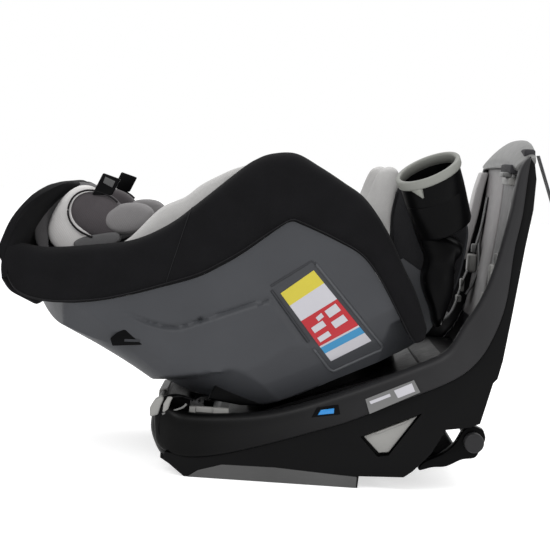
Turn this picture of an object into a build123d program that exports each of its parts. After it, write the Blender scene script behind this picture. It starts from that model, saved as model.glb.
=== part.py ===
from build123d import *
import math
import os

# A rotating convertible car seat, standing in its rear-facing position at full recline.
# Millimetres. +X runs from the head end to the foot end, +Y to the seat's far side, +Z up.
# The origin is on the base's flat underside, below the centre of the turntable.

# ---- driving dimensions ----
HALF_WIDTH = 228  # outer face of the covers and the base's side rails
SHELL_HALF = 219  # outer face of the plastic bucket's walls
WALL_IN = 190  # inner face of the bucket's walls
FLOOR_HALF = 164  # the bucket's floor, between the tapered lower walls
PAD_IN = 150  # inner face of the side bolsters
FRONT_HALF = 142  # the narrower leg end of the bucket
PAN_HALF = 130  # the seat cushion

RECLINE_AXIS = (-80, 371)  # X and Z of the recline's virtual hinge line
RECLINE_R = 300  # the carriage's curved underside
SWIVEL_TILT = 20  # lean of the turntable's axis at full recline
TURNTABLE_Z = 150  # where that axis crosses the origin's vertical
TURNTABLE_R = 128
CARRIAGE_TOP = 20.6  # below the turntable frame's origin
RUN_GAP = 0.8  # working gap between the moving bodies
PIN_GAP = 0.05  # radial running clearance of a shaft

BACK_ANGLE = 152  # direction of the backrest, from +X towards +Z
BIGHT = (-110, 150)  # where the backrest's reference line starts, X and Z

BASE_IN = 200  # the side rails' inner faces
BOWL_HALF = 168  # half the length of the curved bowl, across the base
RIB_PITCH = 62
RIB_THICK = 5

FOOT_AXIS = (240, 81)
CUP_TOP = Vector(140, -212, 490)
CUP_LEAN_BACK = 27
CUP_LEAN_OUT = 18
CUP_R = 48
CUP_FOOT_R = 41
CUP_WALL = 3
CUP_DEPTH = 98
RING_R = 51.5

WEBBING = 38  # harness and anchor webbing width
WEBBING_THICK = 1.6
POST_R = 6
POST_Y = 60
POST_OUT = -52  # the posts' height from the backrest's reference plane



# ---- helpers ----
def outline(points, smooth=False):
    """A closed face in X and Z. A smooth one is a spline through the points, closed by a straight line."""
    if smooth:
        return make_face([Spline(*points), Line(points[-1], points[0])])
    return make_face(Polyline(*points, close=True))


def slab(face, y_low, y_high):
    """The X-Z face made solid from y_low to y_high."""
    return extrude(Plane.XZ.offset(-y_high) * face, y_high - y_low)


def plate(points, y_low, y_high, smooth=False):
    return slab(outline(points, smooth), y_low, y_high)


def mirrored(part):
    return mirror(part, Plane.XZ)


def pair(part):
    return [part, mirrored(part)]


def unit(angle):
    return Vector(math.cos(math.radians(angle)), 0, math.sin(math.radians(angle)))


# the backrest's own frame: local X along the back towards the head, local Y across, local Z up out of it
ALONG_BACK = unit(BACK_ANGLE)
OUT_OF_BACK = unit(BACK_ANGLE - 90)
BACK = Plane(origin=(BIGHT[0], 0, BIGHT[1]), x_dir=ALONG_BACK, z_dir=OUT_OF_BACK)
# the seat cushion's frame, at the buckle
PAN = Plane(origin=(22, 0, 251), x_dir=unit(38.2), z_dir=unit(128.2))
# the turntable's own frame: local Z up its axis, local X along the slope towards the feet
TURN = Plane(origin=(0, 0, TURNTABLE_Z), x_dir=unit(SWIVEL_TILT), z_dir=unit(SWIVEL_TILT + 90))


def back_box(along, across, out):
    """A box in the backrest's frame, from three (low, high) pairs."""
    size = [high - low for low, high in (along, across, out)]
    middle = [(high + low) / 2 for low, high in (along, across, out)]
    return BACK * Pos(*middle) * Box(*size)


def pan_box(along, across, out):
    """A box on the seat cushion's slope."""
    size = [high - low for low, high in (along, across, out)]
    middle = [(high + low) / 2 for low, high in (along, across, out)]
    return PAN * Pos(*middle) * Box(*size)


def back_rod(radius, across, out, along):
    """A round rod along the backrest, from (low, high) along it."""
    low, high = along
    return BACK * Pos((low + high) / 2, across, out) * Rot(0, 90, 0) * Cylinder(radius, high - low)


def turn_disc(radius, low, high):
    """A disc about the turntable's axis, between two heights along it."""
    return TURN * Pos(0, 0, (low + high) / 2) * Cylinder(radius, high - low)


def axle(radius, at, y_low, y_high):
    """A rod across the seat at an X and Z."""
    return Pos(at[0], (y_low + y_high) / 2, at[1]) * Rot(90, 0, 0) * Cylinder(radius, y_high - y_low)


def block(x, y, z):
    """A box from three (low, high) pairs."""
    spans = (x, y, z)
    return Pos(*[(low + high) / 2 for low, high in spans]) * Box(*[high - low for low, high in spans])


# ---- outlines in X and Z ----
SHELL_UNDER = [(-459, 259), (-420, 222), (-342, 181), (-249, 128), (-229, 120), (-78, 110), (147, 218)]
SHELL_RIM = [(156, 246), (132, 292), (106, 342), (76, 390), (40, 424), (-18, 452), (-60, 474),
             (-105, 474), (-150, 440), (-203, 392), (-250, 352), (-300, 326), (-362, 316), (-440, 300)]
COVER_TOP = [(-486, 340), (-458, 337), (-423, 334), (-359, 341), (-297, 353), (-245, 380), (-203, 415),
             (-142, 470), (-119, 487), (-96, 497), (-60, 500), (-23, 483), (51, 438), (87, 392),
             (116, 339), (138, 300), (157, 252)]
COVER_EDGE = [(153, 236), (137, 230), (112, 268), (82, 315), (51, 352), (8, 374), (-47, 395), (-61, 397),
              (-77, 387), (-129, 345), (-162, 323), (-250, 285), (-310, 266), (-362, 255), (-418, 251),
              (-459, 259), (-478, 276), (-489, 308)]
LINER_TOP = [(-318, 350), (-262, 401), (-202, 441), (-143, 473), (-96, 488), (-60, 489), (-20, 472)]
SHELL_INSIDE = [(-476, 284), (-451, 262), (-416, 231), (-337, 190), (-244, 138), (-226, 130), (-79, 121),
                (112, 213), (190, 262), (160, 520), (-60, 560), (-500, 420)]
SHELL_OPEN = [(-480, 306), (-405, 262), (-330, 226), (-230, 172), (-60, 168), (100, 248), (200, 300),
              (160, 520), (-60, 560), (-500, 420)]
FRONT_OUTER = [(104, 204), (143, 219), (167, 239), (182, 270), (205, 315), (216, 382), (209, 428),
               (168, 452), (104, 470), (60, 430), (96, 330)]
FRONT_INNER = [(102, 218), (142, 229), (160, 246), (174, 275), (197, 318), (207, 382), (200, 470),
               (104, 500), (40, 450), (58, 330)]
BOLSTER = [(40, 376), (59, 443), (66, 469), (74, 487), (90, 492), (103, 488), (110, 440), (114, 376), (116, 352)]
LABEL = [(-73, 290), (-19, 327), (82, 219), (15, 185)]

RAIL_TOP = [(-246, 100), (-200, 96), (-150, 97), (-88, 105), (-28, 121), (61, 156), (145, 194), (188, 218), (211, 258),
            (234, 299), (251, 353), (270, 437), (277, 495), (290, 517)]
RAIL_CREASE = [(297, 505), (292, 429), (282, 376), (274, 297), (256, 241), (233, 201), (196, 171),
               (46, 100), (-81, 55), (-143, 37), (-231, 31)]
LEG_BACK = [(307, 523), (312, 486), (302, 381), (290, 283), (280, 209), (273, 181), (264, 174),
            (254, 140), (247, 111), (232, 100), (196, 98), (176, 60)]
BASE_FOOT = [(150, 31), (137, 21), (69, 19), (68, 0), (-197, 0), (-212, 8)]
WINDOW = [(67, 78), (161, 122), (112, 52), (94, 50)]


# ---- base ----
def bowl_space(radius, half):
    """The round trough that the carriage runs in."""
    return axle(radius, RECLINE_AXIS, -half, half)


def base_tray():
    """The moulded lower body, ribbed on its underside."""
    side = [(-236, 60), (-236, 22), (-209, 6), (-197, 0), (68, 0), (69, 19), (137, 21), (150, 31),
            (206, 64), (228, 104), (236, 150), (240, 196), (196, 196), (150, 180), (40, 130),
            (-60, 92), (-190, 84), (-236, 76)]
    body = plate(side, -BASE_IN + 1, BASE_IN - 1)
    body -= bowl_space(RECLINE_R + 5.1, BASE_IN)
    half_rib = RIB_THICK / 2
    inside = plate([(-228, 40), (-228, 22), (-206, 9), (-195, -1), (66, -1), (66, 22), (133, 25), (146, 36),
                    (196, 66), (206, 100), (196, 150), (150, 150), (40, 108), (-60, 80), (-180, 84), (-228, 78)],
                   -BASE_IN + 6, BASE_IN - 6) - bowl_space(RECLINE_R + 9, BASE_IN)
    for i in range(-4, 4):
        for k in range(-3, 3):
            hole = block((i * RIB_PITCH + half_rib, (i + 1) * RIB_PITCH - half_rib),
                         (k * RIB_PITCH + half_rib, (k + 1) * RIB_PITCH - half_rib), (-2, 160))
            piece = inside & hole
            if piece:
                body -= piece
    body -= axle(22, (-86, 27), -BASE_IN, BASE_IN) & block((-110, -60), (-BASE_IN, -BASE_IN + 3), (0, 60))
    for pad in feet():
        body -= pad
    return body


def feet():
    """Grip strips let into the underside, flush with it."""
    return [block((x, x + 24), (y, y + 120), (0, 3)) for x in (-190, 36) for y in (-180, 60)]


def bowl():
    """The curved sheet that the carriage slides over, a separate liner of the tray."""
    sheet = bowl_space(RECLINE_R + 4.5, BOWL_HALF) - bowl_space(RECLINE_R + RUN_GAP, BOWL_HALF)
    wedge = plate([RECLINE_AXIS, (-214, 90), (-214, 20), (110, 20), (110, 152)], -BOWL_HALF, BOWL_HALF)
    return (sheet & wedge) - turning_space(1.5)


def rail(side):
    """A side rail and rebound leg: the band between its top line and the crease below it."""
    band = plate(RAIL_TOP + RAIL_CREASE, BASE_IN, HALF_WIDTH)
    band -= block((-6, 30), (HALF_WIDTH - 3, HALF_WIDTH), (104, 126))
    return band if side > 0 else mirrored(band)


def skirt(side):
    """The darker lower side wall, with the belt-guide window cut in it."""
    lower = plate(list(reversed(RAIL_CREASE)) + LEG_BACK + BASE_FOOT, BASE_IN, HALF_WIDTH - 4)
    lower -= axle(13.5, FOOT_AXIS, 0, HALF_WIDTH)
    lower -= plate(WINDOW, BASE_IN + 12, HALF_WIDTH)
    lower -= axle(4, (-86, 27), HALF_WIDTH - 12, HALF_WIDTH)
    return lower if side > 0 else mirrored(lower)


def nose():
    """The rounded head-end cap, with a pocket for the recline handle."""
    side = [(-236.5, 24), (-243, 41), (-253, 63), (-256, 96), (-253, 108), (-246, 114), (-236.5, 115)]
    cap = plate(side, -150, 150)
    cap -= block((-260, -236), (-62, 62), (66, 118))
    cap -= turning_space(1.5)
    return cap


def recline_handle():
    """The pull handle in the nose: a bar with a finger hollow behind it."""
    bar = plate([(-255, 72), (-253, 106), (-240, 110), (-237.5, 72)], -60, 60)
    return bar - plate([(-248, 79), (-247, 102), (-230, 104), (-230, 79)], -46, 46)


def swivel_release():
    """The turntable's release key on the bowl's head-end rim."""
    return block((-186, -160), (-196, -188.5), (96, 104))


def release_frame():
    """The light rim that guides the release key, outboard of the bowl."""
    rim = block((-196, -136), (-199, -187.5), (93, 104)) - block((-186.6, -159.4), (-200, -187), (92, 105))
    return rim


def rebound_panel():
    """The upright wall between the legs, hollowed on the seat's side so the turning seat clears it."""
    wall = plate([(262, 200), (274, 210), (284, 283), (296, 381), (306, 486), (302, 520), (290, 520),
                  (290, 486), (283, 381), (272, 290), (262, 240)], -BASE_IN + 1, BASE_IN - 1)
    return wall


def panel_plates():
    """Two light plates on the panel's seat side, with the webbing's slot between them."""
    face = [(263, 262), (271, 290), (282, 381), (289, 486), (284, 486), (277, 381), (266, 292), (259, 268)]
    return [plate(face, -150, -8), plate(face, 8, 190)]


def panel_cap():
    """The light cap over the panel's top edge, with a webbing recess."""
    cap = plate([(289, 521), (298, 540), (307, 549), (311, 540), (308, 521)], -196, 196)
    grip = plate([(280, 490), (289, 490), (289, 520), (286, 520)], -190, 60)
    return [cap - block((296, 314), (-170, -120), (532, 552)), grip]


def belt_guide(side):
    """The light belt-path guide set in the side window."""
    centre = (110, 76)
    inset = [(centre[0] + (x - centre[0]) * 0.97, centre[1] + (z - centre[1]) * 0.97) for x, z in WINDOW]
    guide = plate(inset, BASE_IN + 12, HALF_WIDTH - 8)
    return guide if side > 0 else mirrored(guide)


def levels():
    """Blue recline level windows, one in each rail."""
    return pair(block((-4, 28), (HALF_WIDTH - 3, HALF_WIDTH - 1), (107, 123)))


def rail_labels():
    """Blank label plates on the rails."""
    return pair(plate([(68, 140), (142, 174), (154, 153), (75, 113)], HALF_WIDTH, HALF_WIDTH + 0.6))


def foot_pin():
    """The axle of the pivoting rear foot, held in the two side walls."""
    return axle(7, FOOT_AXIS, -HALF_WIDTH + 6, HALF_WIDTH - 6)


def foot_bushes():
    """Bushes that carry the rear foot's axle in the side walls."""
    bush = axle(13, FOOT_AXIS, BASE_IN + 1, HALF_WIDTH - 6) - axle(7, FOOT_AXIS, BASE_IN, HALF_WIDTH)
    return pair(bush)


def rear_foot():
    """The swing-down foot that changes the base's tilt: two cheeks and a cross bar."""
    arm = [(256, 98), (258, 80), (245, 54), (226, 51), (203, 39), (182, 36), (161, 29), (170, 42), (196, 56),
           (216, 74), (226, 94), (240, 101)]
    cheek = plate(arm, 176, 198)
    bar = plate([(226, 51), (203, 39), (182, 36), (161, 29), (170, 42), (196, 56)], -176, 176)
    foot = bar + cheek + mirrored(cheek)
    return foot - axle(7 + PIN_GAP, FOOT_AXIS, -BASE_IN, BASE_IN)


def base_notch():
    """The space in the tray that the rear foot swings in."""
    return plate([(300, 120), (210, 108), (150, 52), (120, 10), (200, -10), (300, 20)], -BASE_IN, BASE_IN)


# ---- carriage ----
def carriage():
    """The lens-shaped slide between the bowl and the turntable, bored for the turntable's hub."""
    lens = bowl_space(RECLINE_R, 150)
    above = TURN * Pos(0, 0, 500 - CARRIAGE_TOP) * Box(900, 900, 1000)
    body = (lens - above) - turn_disc(30 + PIN_GAP, -60, 0)
    for x in (-78, 52):
        for y in (-120, -40, 44):
            body -= TURN * Pos(x + 13, y + 38, -50) * Box(44, 62, 44)
    return body


def bearing_ring():
    """The ring of the turntable's slide bearing, let into the carriage's top."""
    return turn_disc(112, -23.4, -20.6) - turn_disc(96, -24, -20)


# ---- seat ----
def turning_space(extra):
    """The dish that the bucket's underside turns in, about the turntable's axis."""
    low, mid, high = -12.5, 60, 110
    inner, outer = 190, 245
    dish = TURN * Pos(0, 0, (low + mid) / 2 - extra) * Cone(inner + extra, outer + extra, mid - low)
    flare = TURN * Pos(0, 0, (mid + high) / 2 - extra) * Cone(outer + extra, 400, high - mid)
    return dish + flare + turn_disc(700, high - extra, 700)


def shell_solid():
    """The bucket's outer form, narrowed towards its underside."""
    form = plate(SHELL_UNDER + SHELL_RIM, -SHELL_HALF, SHELL_HALF)
    low_back = BACK * extrude(Plane.YZ.offset(-200) * make_face(Polyline(
        (-SHELL_HALF, 500), (-SHELL_HALF, -36), (-186, -83), (186, -83), (SHELL_HALF, -36), (SHELL_HALF, 500),
        close=True)), 800)
    under_tilt = 25.6
    under = Plane(origin=(-78, 0, 110), x_dir=unit(under_tilt), z_dir=unit(under_tilt + 90))
    low_pan = under * extrude(Plane.YZ.offset(-300) * make_face(Polyline(
        (-SHELL_HALF, 700), (-SHELL_HALF, 74), (-200, 34), (-176, -6), (-150, -60), (150, -60), (176, -6),
        (200, 34), (SHELL_HALF, 74), (SHELL_HALF, 700), close=True)), 700)
    return form & low_back & low_pan & turning_space(0)


def shell():
    """The plastic bucket: side walls, back and the narrower leg end."""
    bucket = shell_solid() - plate(SHELL_INSIDE, -FLOOR_HALF, FLOOR_HALF) - plate(SHELL_OPEN, -WALL_IN, WALL_IN)
    leg_end = plate(FRONT_OUTER, -FRONT_HALF, FRONT_HALF) - plate(FRONT_INNER, -FRONT_HALF + 8, FRONT_HALF - 8)
    whole = bucket + leg_end
    for y in (-POST_Y, POST_Y):
        whole -= back_rod(POST_R + 1.2, y, POST_OUT, (70, 400))
    for slot in pair(back_box((164, 216), (168, 224), (-52, -30))):
        whole -= slot
    for recess in pair(plate(LABEL, SHELL_HALF - 1, SHELL_HALF + 5)):
        whole -= recess
    return whole


def side_cover(side):
    """The padded black cover over a side wall's rim."""
    band = plate(COVER_TOP + COVER_EDGE, PAD_IN + 16, HALF_WIDTH)
    band -= hood_block(30)
    return band if side > 0 else mirrored(band)


def hood_block(extra):
    """The space of the hood: everything beyond its inner face, at the head end."""
    return back_box((396, 396 + 60), (-HALF_WIDTH - 1, HALF_WIDTH + 1), (-90, 60 + extra))


def hood():
    """The head-end wall with its arched padded rim."""
    arch = [(-HALF_WIDTH, -66), (-HALF_WIDTH, 2), (-218, 20), (-200, 34), (-160, 58), (-120, 78), (-60, 100),
            (0, 110), (60, 100), (120, 78), (160, 58), (200, 34), (218, 20), (HALF_WIDTH, 2), (HALF_WIDTH, -66)]
    wall = extrude(Plane.YZ.offset(396) * make_face(Polyline(*arch, close=True)), 32)
    hood_wall = BACK * wall
    keep = plate([(-459, 256), (-481, 276), (-492, 308), (-489, 345), (-440, 480), (-300, 480), (-300, 256)],
                 -300, 300)
    return hood_wall & keep


def wing_liner(side):
    """The light inner lining pad of a side wall."""
    low = [(-20, 210), (-86, 200), (-200, 215), (-318, 275)]
    pad = plate(LINER_TOP + low, PAD_IN, PAD_IN + 15.5)
    return pad if side > 0 else mirrored(pad)


def back_pad():
    """The backrest cushion."""
    return back_box((40, 284), (-PAD_IN + 2, PAD_IN - 2), (-44, -16))


def seat_pad():
    """The seat cushion, rising from the bight to the leg end."""
    under = [(166, 392), (128, 326), (80, 274), (12, 220), (-48, 184), (-88, 168)]
    top = [(-92, 190), (-50, 204), (6, 238), (72, 290), (118, 340), (152, 398)]
    return plate(under + top, -PAN_HALF, PAN_HALF)


def pan_block():
    """The foam block between the bucket's floor and the seat cushion."""
    outline_points = [(-74, 132), (100, 222), (136, 238), (155, 257), (169, 284), (184, 322), (188, 378),
                      (170, 392), (131, 324), (83, 271), (15, 216), (-45, 180), (-86, 163)]
    return plate(outline_points, -PAN_HALF, PAN_HALF)


def back_block():
    """The foam block behind the backrest cushion, grooved for the headrest's posts."""
    foam = back_box((96, 284), (-PAD_IN + 6, PAD_IN - 6), (-70.5, -44.5))
    foam -= back_box((0, 320), (-POST_Y - 14, -POST_Y + 14), (-74, -44))
    foam -= back_box((0, 320), (POST_Y - 14, POST_Y + 14), (-74, -44))
    return foam


def post_guides():
    """Sleeves that the headrest's posts slide in, clipped to the back of the foam."""
    guides = []
    for y in (-POST_Y, POST_Y):
        for low in (205, 262):
            sleeve = back_box((low, low + 18), (y - 10, y + 10), (-61, -44.6))
            guides.append(sleeve - back_rod(POST_R + PIN_GAP, y, POST_OUT, (low - 1, low + 19)))
    return guides


def thigh_bolster(side):
    """The light bolster beside the thigh, standing above the cover at the leg end."""
    pad = plate(BOLSTER, 98, FRONT_HALF - 8.6)
    return pad if side > 0 else mirrored(pad)


def side_label(side):
    """The blank colour-banded label, in a shallow recess of the bucket's side."""
    sheet = plate(LABEL, SHELL_HALF - 1, SHELL_HALF - 0.2)
    return sheet if side > 0 else mirrored(sheet)


def lock_off():
    """Belt lock-off clamps in the slots of the bucket's back."""
    clamp = back_box((167, 213), (171, 206), (-48, -34)) - back_box((176, 204), (182, 210), (-45, -37))
    return pair(clamp)


def harness():
    """Shoulder webbing, lying on the backrest cushion and down over the seat cushion."""
    straps = []
    for y in (-48, 48):
        straps.append(back_box((72, 232), (y - WEBBING / 2, y + WEBBING / 2), (-15.6, -14)))
    return straps


def shoulder_pads():
    """Soft sleeves round the shoulder webbing."""
    pads = []
    for y in (-48, 48):
        sleeve = back_box((140, 226), (y - 30, y + 30), (-15.8, -6))
        pads.append(sleeve - back_box((139, 227), (y - WEBBING / 2, y + WEBBING / 2), (-15.9, -13.9)))
    return pads


def chest_clip():
    """The clip that joins the shoulder straps."""
    return back_box((104, 132), (-70, 70), (-13.8, -6))


def buckle():
    """The crotch buckle's housing, hollowed for its release button."""
    body = pan_box((10, 56), (-27, 27), (0.4, 20))
    return body - pan_box((22, 44), (-12, 12), (10, 21))


def buckle_button():
    return pan_box((22.6, 43.4), (-11.4, 11.4), (14, 22))


def buckle_tongues():
    """Two tongues that leave the buckle's upper end and carry the shoulder straps."""
    tongue = pan_box((56.2, 72), (4, 26), (8, 12))
    return pair(tongue)


def crotch_strap():
    """The webbing that holds the buckle to the bucket's floor."""
    return pan_box((-14, 9.8), (-19, 19), (0.4, 2.4))


def adjuster():
    """The harness adjuster's housing in the seat pad's front edge."""
    housing = block((166, 190), (-26, 26), (398, 412))
    return housing - block((170, 186), (-14, 14), (402, 414))


def adjuster_button():
    return block((170.6, 185.4), (-13.4, 13.4), (406, 415))


def adjuster_strap():
    """The pull strap that tightens the harness."""
    return block((191, 193), (-14, 14), (340, 400))


def turntable():
    """The disc under the bucket and the hub that turns in the carriage."""
    disc = turn_disc(TURNTABLE_R, -20, 12)
    disc -= shell_solid()
    hub = turn_disc(30, -34, -19)
    trimmed = disc & (TURN * Pos(0, 0, -8) * Box(400, 400, 24.1))
    return trimmed + hub


# ---- cup holder ----
CUP_AXIS = Vector(-math.tan(math.radians(CUP_LEAN_BACK)), -math.tan(math.radians(CUP_LEAN_OUT)), 1).normalized()
CUP = Plane(origin=CUP_TOP, x_dir=Vector(0, 1, 0).cross(CUP_AXIS), z_dir=CUP_AXIS)


def cup():
    """The cup, open at the top, slightly tapered."""
    inside = CUP * Pos(0, 0, -CUP_DEPTH / 2 + CUP_WALL) * Cone(CUP_FOOT_R - CUP_WALL, CUP_R - CUP_WALL, CUP_DEPTH)
    return solid_cup() - inside


def cup_ring():
    """The light rim ring with its small pointed tab."""
    ring = CUP * Pos(0, 0, -3) * Cylinder(RING_R, 13)
    tab = CUP * Pos(8, -RING_R + 2.4, -16) * Box(14, 3, 16)
    return (ring + tab) - (CUP * Pos(0, 0, -22) * Cylinder(CUP_R - CUP_WALL, 70)) - solid_cup(0.15)


def solid_cup(extra=0.0):
    """The cup's outer form, grown by extra all round its side."""
    return CUP * Pos(0, 0, -CUP_DEPTH / 2) * Cone(CUP_FOOT_R + extra, CUP_R + extra, CUP_DEPTH)


def cup_bracket():
    """The arm that carries the cup on the leg end's side."""
    arm = plate([(120, 404), (212, 372), (206, 320), (190, 262), (176, 246), (160, 276), (146, 320)],
                -FRONT_HALF - 50, -FRONT_HALF - 0.2)
    slope = extrude(Plane.YZ.offset(60) * make_face(Polyline(
        (-FRONT_HALF, 440), (-FRONT_HALF - 90, 440), (-FRONT_HALF - 66, 330), (-FRONT_HALF - 14, 240),
        (-FRONT_HALF, 240), close=True)), 200)
    return (arm & slope) - solid_cup()


# ---- headrest ----
def headrest_shell():
    """The headrest's back plate, its head-end web and the two posts."""
    back = back_box((232, 392), (-136, 136), (4, 10))
    web = back_box((386, 392), (-90, 90), (-50, 4))
    posts = back_rod(POST_R, -POST_Y, POST_OUT, (175, 390)) + back_rod(POST_R, POST_Y, POST_OUT, (175, 390))
    return back + web + posts


def headrest_liner():
    """The padded crown lining inside the hood."""
    arch = [(-142, 11), (-142, 60), (-110, 76), (-60, 92), (0, 98), (60, 92), (110, 76), (142, 60), (142, 11)]
    return BACK * extrude(Plane.YZ.offset(362) * make_face(Polyline(*arch, close=True)), 29)


def pillow():
    """The head cushion."""
    return back_box((236, 360), (-92, 92), (11, 36))


def wing_pad(side):
    """A side bolster of the headrest."""
    pad = BACK * slab_back([(238, 11), (238, 96), (262, 138), (312, 138), (350, 118), (360, 60), (360, 11)], 94, 142)
    return pad if side > 0 else mirrored(pad)


def slab_back(points, y_low, y_high):
    """A face given along and out of the back, made solid across it."""
    return extrude(Plane.XZ.offset(-y_high) * make_face(Polyline(*points, close=True)), y_high - y_low)


def belt_guides():
    """Black belt guides on the crown's sides."""
    hook = BACK * slab_back([(392.5, 64), (392.5, 60), (364, 60), (352, 150), (376, 156), (384, 128)], 143, 147)
    return pair(hook)


def headrest_handle():
    """The squeeze bar that frees the headrest's height lock."""
    return back_box((392.6, 395), (-30, 30), (-10, 2))


# ---- anchor strap ----
STRAP_START = (309.6, 522)  # X and Z where it leaves the cap
STRAP_END = (364.6, 378)
STRAP_Y = (-188, -163)


def tether_strap():
    """The taut anchor webbing from the panel's cap."""
    half = WEBBING_THICK / 2
    left = [(x - half, z) for x, z in (STRAP_START, STRAP_END)]
    right = [(x + half, z) for x, z in (STRAP_END, STRAP_START)]
    return plate(left + right, *STRAP_Y)


def tether_hook():
    """The hook on the strap's far end."""
    x, z = STRAP_END
    hook = [(x - 4, z - 0.4), (x + 4, z - 0.4), (x + 12, z - 24), (x + 8, z - 44), (x + 2, z - 44), (x + 5, z - 24)]
    return plate(hook, -186, -165)


# ---- the parts ----
def build():
    parts = {}
    tray = base_tray() - base_notch()
    parts["base_tray"] = tray - turning_space(1.5)
    parts["grip_strips"] = feet()
    parts["bowl_liner"] = bowl()
    parts["side_rail_near"] = rail(-1)
    parts["side_rail_far"] = rail(1)
    parts["side_skirt_near"] = skirt(-1)
    parts["side_skirt_far"] = skirt(1)
    parts["nose_cap"] = nose()
    parts["recline_handle"] = recline_handle()
    parts["swivel_release"] = swivel_release()
    parts["release_frame"] = release_frame()
    parts["rebound_panel"] = rebound_panel()
    parts["panel_plates"] = panel_plates()
    parts["panel_cap"] = panel_cap()
    parts["belt_guides"] = [belt_guide(-1), belt_guide(1)]
    parts["level_windows"] = levels()
    parts["rail_labels"] = rail_labels()
    parts["rear_foot"] = rear_foot()
    parts["rear_foot_pin"] = foot_pin()
    parts["rear_foot_bushes"] = foot_bushes()
    ring = bearing_ring()
    parts["recline_carriage"] = carriage() - ring
    parts["bearing_ring"] = ring
    parts["turntable"] = turntable()
    bucket = shell()
    parts["seat_shell"] = bucket
    parts["crown_hood"] = hood() - bucket
    for name, side in (("near", -1), ("far", 1)):
        parts[f"side_cover_{name}"] = side_cover(side) - bucket
        parts[f"wing_liner_{name}"] = wing_liner(side)
        parts[f"thigh_bolster_{name}"] = thigh_bolster(side)
        parts[f"wing_pad_{name}"] = wing_pad(side)
    parts["side_labels"] = [side_label(-1), side_label(1)]
    parts["back_pad"] = back_pad()
    parts["back_foam"] = back_block()
    parts["seat_pad"] = seat_pad()
    parts["pan_foam"] = pan_block()
    parts["post_guides"] = post_guides()
    parts["belt_lock_offs"] = lock_off()
    parts["harness_straps"] = harness()
    parts["shoulder_pads"] = shoulder_pads()
    parts["chest_clip"] = chest_clip()
    parts["buckle"] = buckle()
    parts["buckle_button"] = buckle_button()
    parts["buckle_tongues"] = buckle_tongues()
    parts["crotch_strap"] = crotch_strap()
    parts["harness_adjuster"] = adjuster()
    parts["adjuster_button"] = adjuster_button()
    parts["adjuster_strap"] = adjuster_strap()
    parts["cup"] = cup()
    parts["cup_ring"] = cup_ring()
    parts["cup_bracket"] = cup_bracket()
    parts["headrest_shell"] = headrest_shell()
    parts["headrest_liner"] = headrest_liner()
    parts["head_pillow"] = pillow()
    parts["crown_belt_guides"] = belt_guides()
    parts["headrest_handle"] = headrest_handle()
    parts["tether_strap"] = tether_strap()
    parts["tether_hook"] = tether_hook()
    return parts


def solids_of(shape):
    found = []
    for piece in shape if isinstance(shape, list) else [shape]:
        found += piece.solids()
    return found


os.makedirs("parts", exist_ok=True)
for node, shape in build().items():
    pieces = solids_of(shape)
    whole = pieces[0] if len(pieces) == 1 else Compound(pieces)
    export_step(whole, f"parts/{node}.step")
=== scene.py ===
import bpy
import bmesh
import math
import numpy as np
from mathutils import Matrix, Vector, noise


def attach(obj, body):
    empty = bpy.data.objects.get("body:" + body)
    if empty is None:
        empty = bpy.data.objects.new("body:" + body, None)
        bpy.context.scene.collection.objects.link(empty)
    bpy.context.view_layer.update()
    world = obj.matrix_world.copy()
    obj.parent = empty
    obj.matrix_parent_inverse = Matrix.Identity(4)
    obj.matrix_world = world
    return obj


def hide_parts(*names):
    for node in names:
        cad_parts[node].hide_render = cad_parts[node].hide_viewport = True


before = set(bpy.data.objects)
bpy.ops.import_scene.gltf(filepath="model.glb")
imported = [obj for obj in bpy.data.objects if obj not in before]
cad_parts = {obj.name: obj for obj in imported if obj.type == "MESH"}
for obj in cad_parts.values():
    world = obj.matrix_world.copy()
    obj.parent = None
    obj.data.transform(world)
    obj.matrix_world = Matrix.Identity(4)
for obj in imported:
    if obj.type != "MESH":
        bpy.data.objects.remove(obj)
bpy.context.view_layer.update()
MM = 0.001

# ---- the frame's own directions, as in the CAD: millimetres and degrees ----
BACK_ANGLE = math.radians(152)
BIGHT = np.array([-110.0, 150.0])
ALONG = np.array([math.cos(BACK_ANGLE), math.sin(BACK_ANGLE)])
OUT = np.array([math.sin(BACK_ANGLE), -math.cos(BACK_ANGLE)])
PAN_ANGLE = math.radians(38.2)
PAN_ORIGIN = np.array([22.0, 251.0])
TILT = math.radians(20)
SIDE_Y = 228.0
NEAR, FAR = -1, 1
SIDES = ((NEAR, "near"), (FAR, "far"))


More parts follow.
